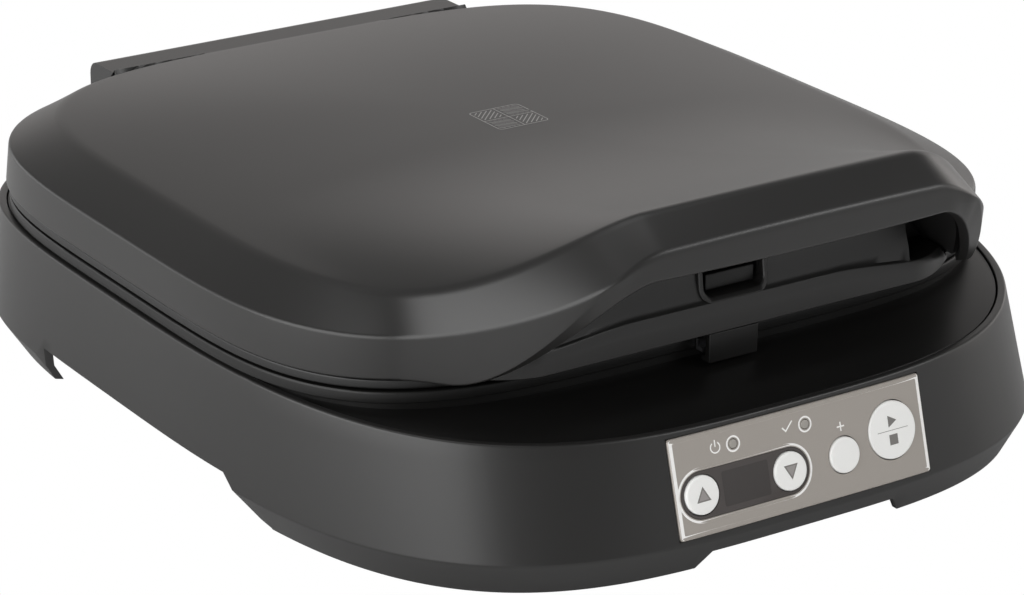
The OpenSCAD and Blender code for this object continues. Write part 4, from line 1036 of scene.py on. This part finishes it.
def build_keys():
    """Caps with a flange behind the plate, their tops square to the flat panel."""
    flange, thick, clear = 1.5, 1.2, 2.7
    for node, p, d in (("up_button", UP, 14.2), ("down_button", DOWN, 14.2),
                       ("more_button", MORE, 13.3), ("start_button", START, 21.5)):
        r = d / 2
        face = PLATE_UP - fall(p[0]) + 1.0
        back = -fall(abs(p[0]) + r + flange) - clear
        prof = [(0.001, back - thick), (r + flange, back - thick), (r + flange, back), (r, back)]
        prof += round_profile([(r, back), (r, face), (0.001, face)], [0, 0.9, 0], 6)[1:]
        ob = lathe(node + "_cap", prof, KEY, node, 96, local_to_panel(p), 50)
        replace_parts(ob, node)

        x, y = p
        signs = []
        if node in ("up_button", "down_button"):
            s = 1 if node == "down_button" else -1
            tri, inner = [[(x - w, y - lo * s), (x + w, y - lo * s), (x, y + hi * s)]
                          for w, lo, hi in ((3.1, 2.4, 3.1), (2.2, 1.9, 2.0))]
            signs = [tri]
            decal(node + "_arrow", [patch([inner], over_flat(face + 0.06))], PRINT_LIGHT, node)
        if node == "start_button":
            # Start and cancel as generic play and stop signs, parted by a thin line
            signs = [[(x - 1.7, y - 5.6), (x + 2.2, y - 3.4), (x - 1.7, y - 1.2)],
                     rect(x - 7.0, y - 0.1, x + 7.0, y + 0.1),
                     rect(x - 1.9, y + 1.6, x + 1.9, y + 5.4)]
        if signs:
            decal(node + "_sign", [patch([q], over_flat(face + 0.03)) for q in signs], PRINT, node)


build_keys()


def lid_top(x, y):
    """Height of the lid's top panel: f is how far (x, y) lies from the middle to the crest."""
    reach = -curve_y(front_y(TOP, x), x, CREST_C) if y < 0 else rear_y(TOP, x)
    f = max(abs(y) / float(reach), abs(x) / TOP[0])
    for _ in range(30):
        xr = min(abs(x) / max(f, 1e-3), TOP[0] - 0.01)
        reach = float(-curve_y(front_y(TOP, xr), xr, CREST_C)) if y < 0 else float(rear_y(TOP, xr))
        f = 0.5 * f + 0.5 * max(abs(y) / max(reach, 1.0), 1e-3)
    return TOP_Z + CROWN * (1 - f ** 2.5) + float(climb(np.array([x]), np.array([y]))[0])


def build_mark():
    """Generic sign of four bread slices, each halved: the layout of the plates."""
    cx, cy, h = 3.6, -13.0, 11.8    # centre and half width
    w, t = 0.45, 0.16               # line width, half width of the hatching

    def at(x, y):
        return (x, y, lid_top(x, y) + 0.06)

    inner = rounded(cx - h + w, cy - h + w, cx + h - w, cy + h - w, 1.6)
    shapes = [patch([rounded(cx - h, cy - h, cx + h, cy + h, 2.0), inner], at),
              patch([rect(cx - w / 2, cy - h, cx + w / 2, cy + h)], at),
              patch([rect(cx - h, cy - w / 2, cx + h, cy + w / 2)], at)]
    for sx in (-1, 1):
        for sy in (-1, 1):
            for k in np.arange(-0.75, 0.8, 0.25):
                ox, oy = cx + sx * h / 2, cy + sy * h / 2
                d = (1 - abs(k)) * (h / 2 - 1.4)
                mx, my = ox + k * sx * (h / 2 - 1.2), oy + k * sy * (h / 2 - 1.2)
                a, b = (mx - d * sx, my + d * sy), (mx + d * sx, my - d * sy)
                u = t * sx * sy
                shapes.append(patch([[(a[0] - t, a[1] - u), (b[0] - t, b[1] - u),
                                      (b[0] + t, b[1] + u), (a[0] + t, a[1] + u)]], at))
    decal("lid_sign", shapes, MARK, "lid")


build_mark()


def build_lamps():
    for node, p in (("power_light", POWER), ("ready_light", READY)):
        top = PLATE_UP - fall(p[0])
        prof = [(1.7, -2.0)]
        prof += round_profile([(1.7, -1.0), (1.7, top + 0.35), (0.001, top + 0.5)], [0, 0.6, 0], 6)
        ob = lathe(node + "_lens", prof, LENS, "base", 40, local_to_panel(p), 60)
        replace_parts(ob, node)


build_lamps()

# ---------------------------------------------------------------- floor, light, camera
def white(nt, kind, strength):
    n = nt.nodes.new(kind)
    n.inputs["Color"].default_value = (1, 1, 1, 1)
    n.inputs["Strength"].default_value = strength
    return n


def for_camera(nt, out, lit, seen):
    """Gives the camera's rays the shader seen and every other ray the shader lit."""
    path = nt.nodes.new("ShaderNodeLightPath")
    mix = nt.nodes.new("ShaderNodeMixShader")
    nt.links.new(path.outputs["Is Camera Ray"], mix.inputs[0])
    nt.links.new(lit.outputs[0], mix.inputs[1])
    nt.links.new(seen.outputs[0], mix.inputs[2])
    nt.links.new(mix.outputs[0], out.inputs["Surface"])


# Floor and world are plain white to the camera, as in the photo
floor_mat = material("floor", (0.88, 0.88, 0.88), 0.7)
nt = floor_mat.node_tree
for_camera(nt, nt.nodes["Material Output"], nt.nodes["Principled BSDF"],
           white(nt, "ShaderNodeEmission", 1.0))
me = bpy.data.meshes.new("floor")
me.from_pydata([(-6, -6, 0), (6, -6, 0), (6, 6, 0), (-6, 6, 0)], [], [(0, 1, 2, 3)])
me.materials.append(floor_mat)
floor = bpy.data.objects.new("floor", me)
bpy.context.scene.collection.objects.link(floor)

world = bpy.data.worlds.new("studio")
bpy.context.scene.world = world
world.use_nodes = True
nt = world.node_tree
nt.nodes.clear()
for_camera(nt, nt.nodes.new("ShaderNodeOutputWorld"), white(nt, "ShaderNodeBackground", 0.16),
           white(nt, "ShaderNodeBackground", 1.0))


def area_light(name, width, depth, radiance, place, turn, color=(1, 1, 1)):
    d = bpy.data.lights.new(name, "AREA")
    d.shape = "RECTANGLE"
    d.size, d.size_y = width, depth
    d.energy = radiance * math.pi * width * depth
    d.color = color
    o = bpy.data.objects.new(name, d)
    o.location = place
    o.rotation_euler = turn
    o.visible_camera = False
    bpy.context.scene.collection.objects.link(o)


def softbox(name, azimuth, z_lo, z_hi, away, width, radiance, color=(1, 1, 1)):
    """An upright soft box: azimuth from +Y towards +X, its lower and upper edge, its distance."""
    a, z = math.radians(azimuth), (z_lo + z_hi) / 2
    place = Vector((away * math.sin(a), away * math.cos(a), z))
    turn = (Vector((0, 0, z)) - place).to_track_quat("-Z", "Y").to_euler()
    area_light(name, width, z_hi - z_lo, radiance, place, turn, color)


softbox("back_box", 36, 0.02, 1.5, 2.3, 3.2, 0.62, (1.0, 0.955, 0.93))
softbox("left_box", -100, 0.02, 1.5, 1.7, 2.4, 3.4)
softbox("far_left_box", -40, 0.02, 0.6, 1.9, 2.4, 1.6)
softbox("right_box", 148, 0.05, 1.2, 2.4, 1.8, 0.5)
softbox("side_box", 92, 0.02, 1.0, 2.4, 2.4, 1.5, (1.0, 0.96, 0.93))
softbox("crease_box", 138, 1.2, 1.75, 2.0, 1.8, 6.0)
area_light("top_box", 1.3, 1.1, 1.1, (0.05, 0.25, 1.7), (0, 0, math.radians(-32.7)))

scene = bpy.context.scene
cam_data = bpy.data.cameras.new("camera")
cam = bpy.data.objects.new("camera", cam_data)
scene.collection.objects.link(cam)
scene.camera = cam
# The photo's viewing angle: azimuth from +Y towards +X, elevation, focal length in pixels
az, el, FOCAL, WIDTH, SENSOR = math.radians(32.70), math.radians(20.05), 3607.71, 1024, 36.0
cam.location = (-0.7450, -1.1156, 0.56455)
look = Vector((math.sin(az) * math.cos(el), math.cos(az) * math.cos(el), -math.sin(el)))
cam.rotation_euler = look.to_track_quat("-Z", "Y").to_euler()
cam_data.sensor_width = SENSOR
cam_data.lens = FOCAL / WIDTH * SENSOR
cam_data.shift_x = 0.0616
cam_data.shift_y = -0.0992
cam_data.clip_start = 0.01
scene.render.resolution_x = WIDTH
scene.render.resolution_y = 595
scene.view_settings.view_transform = "Standard"
scene.render.engine = "CYCLES"
scene.cycles.samples = 128
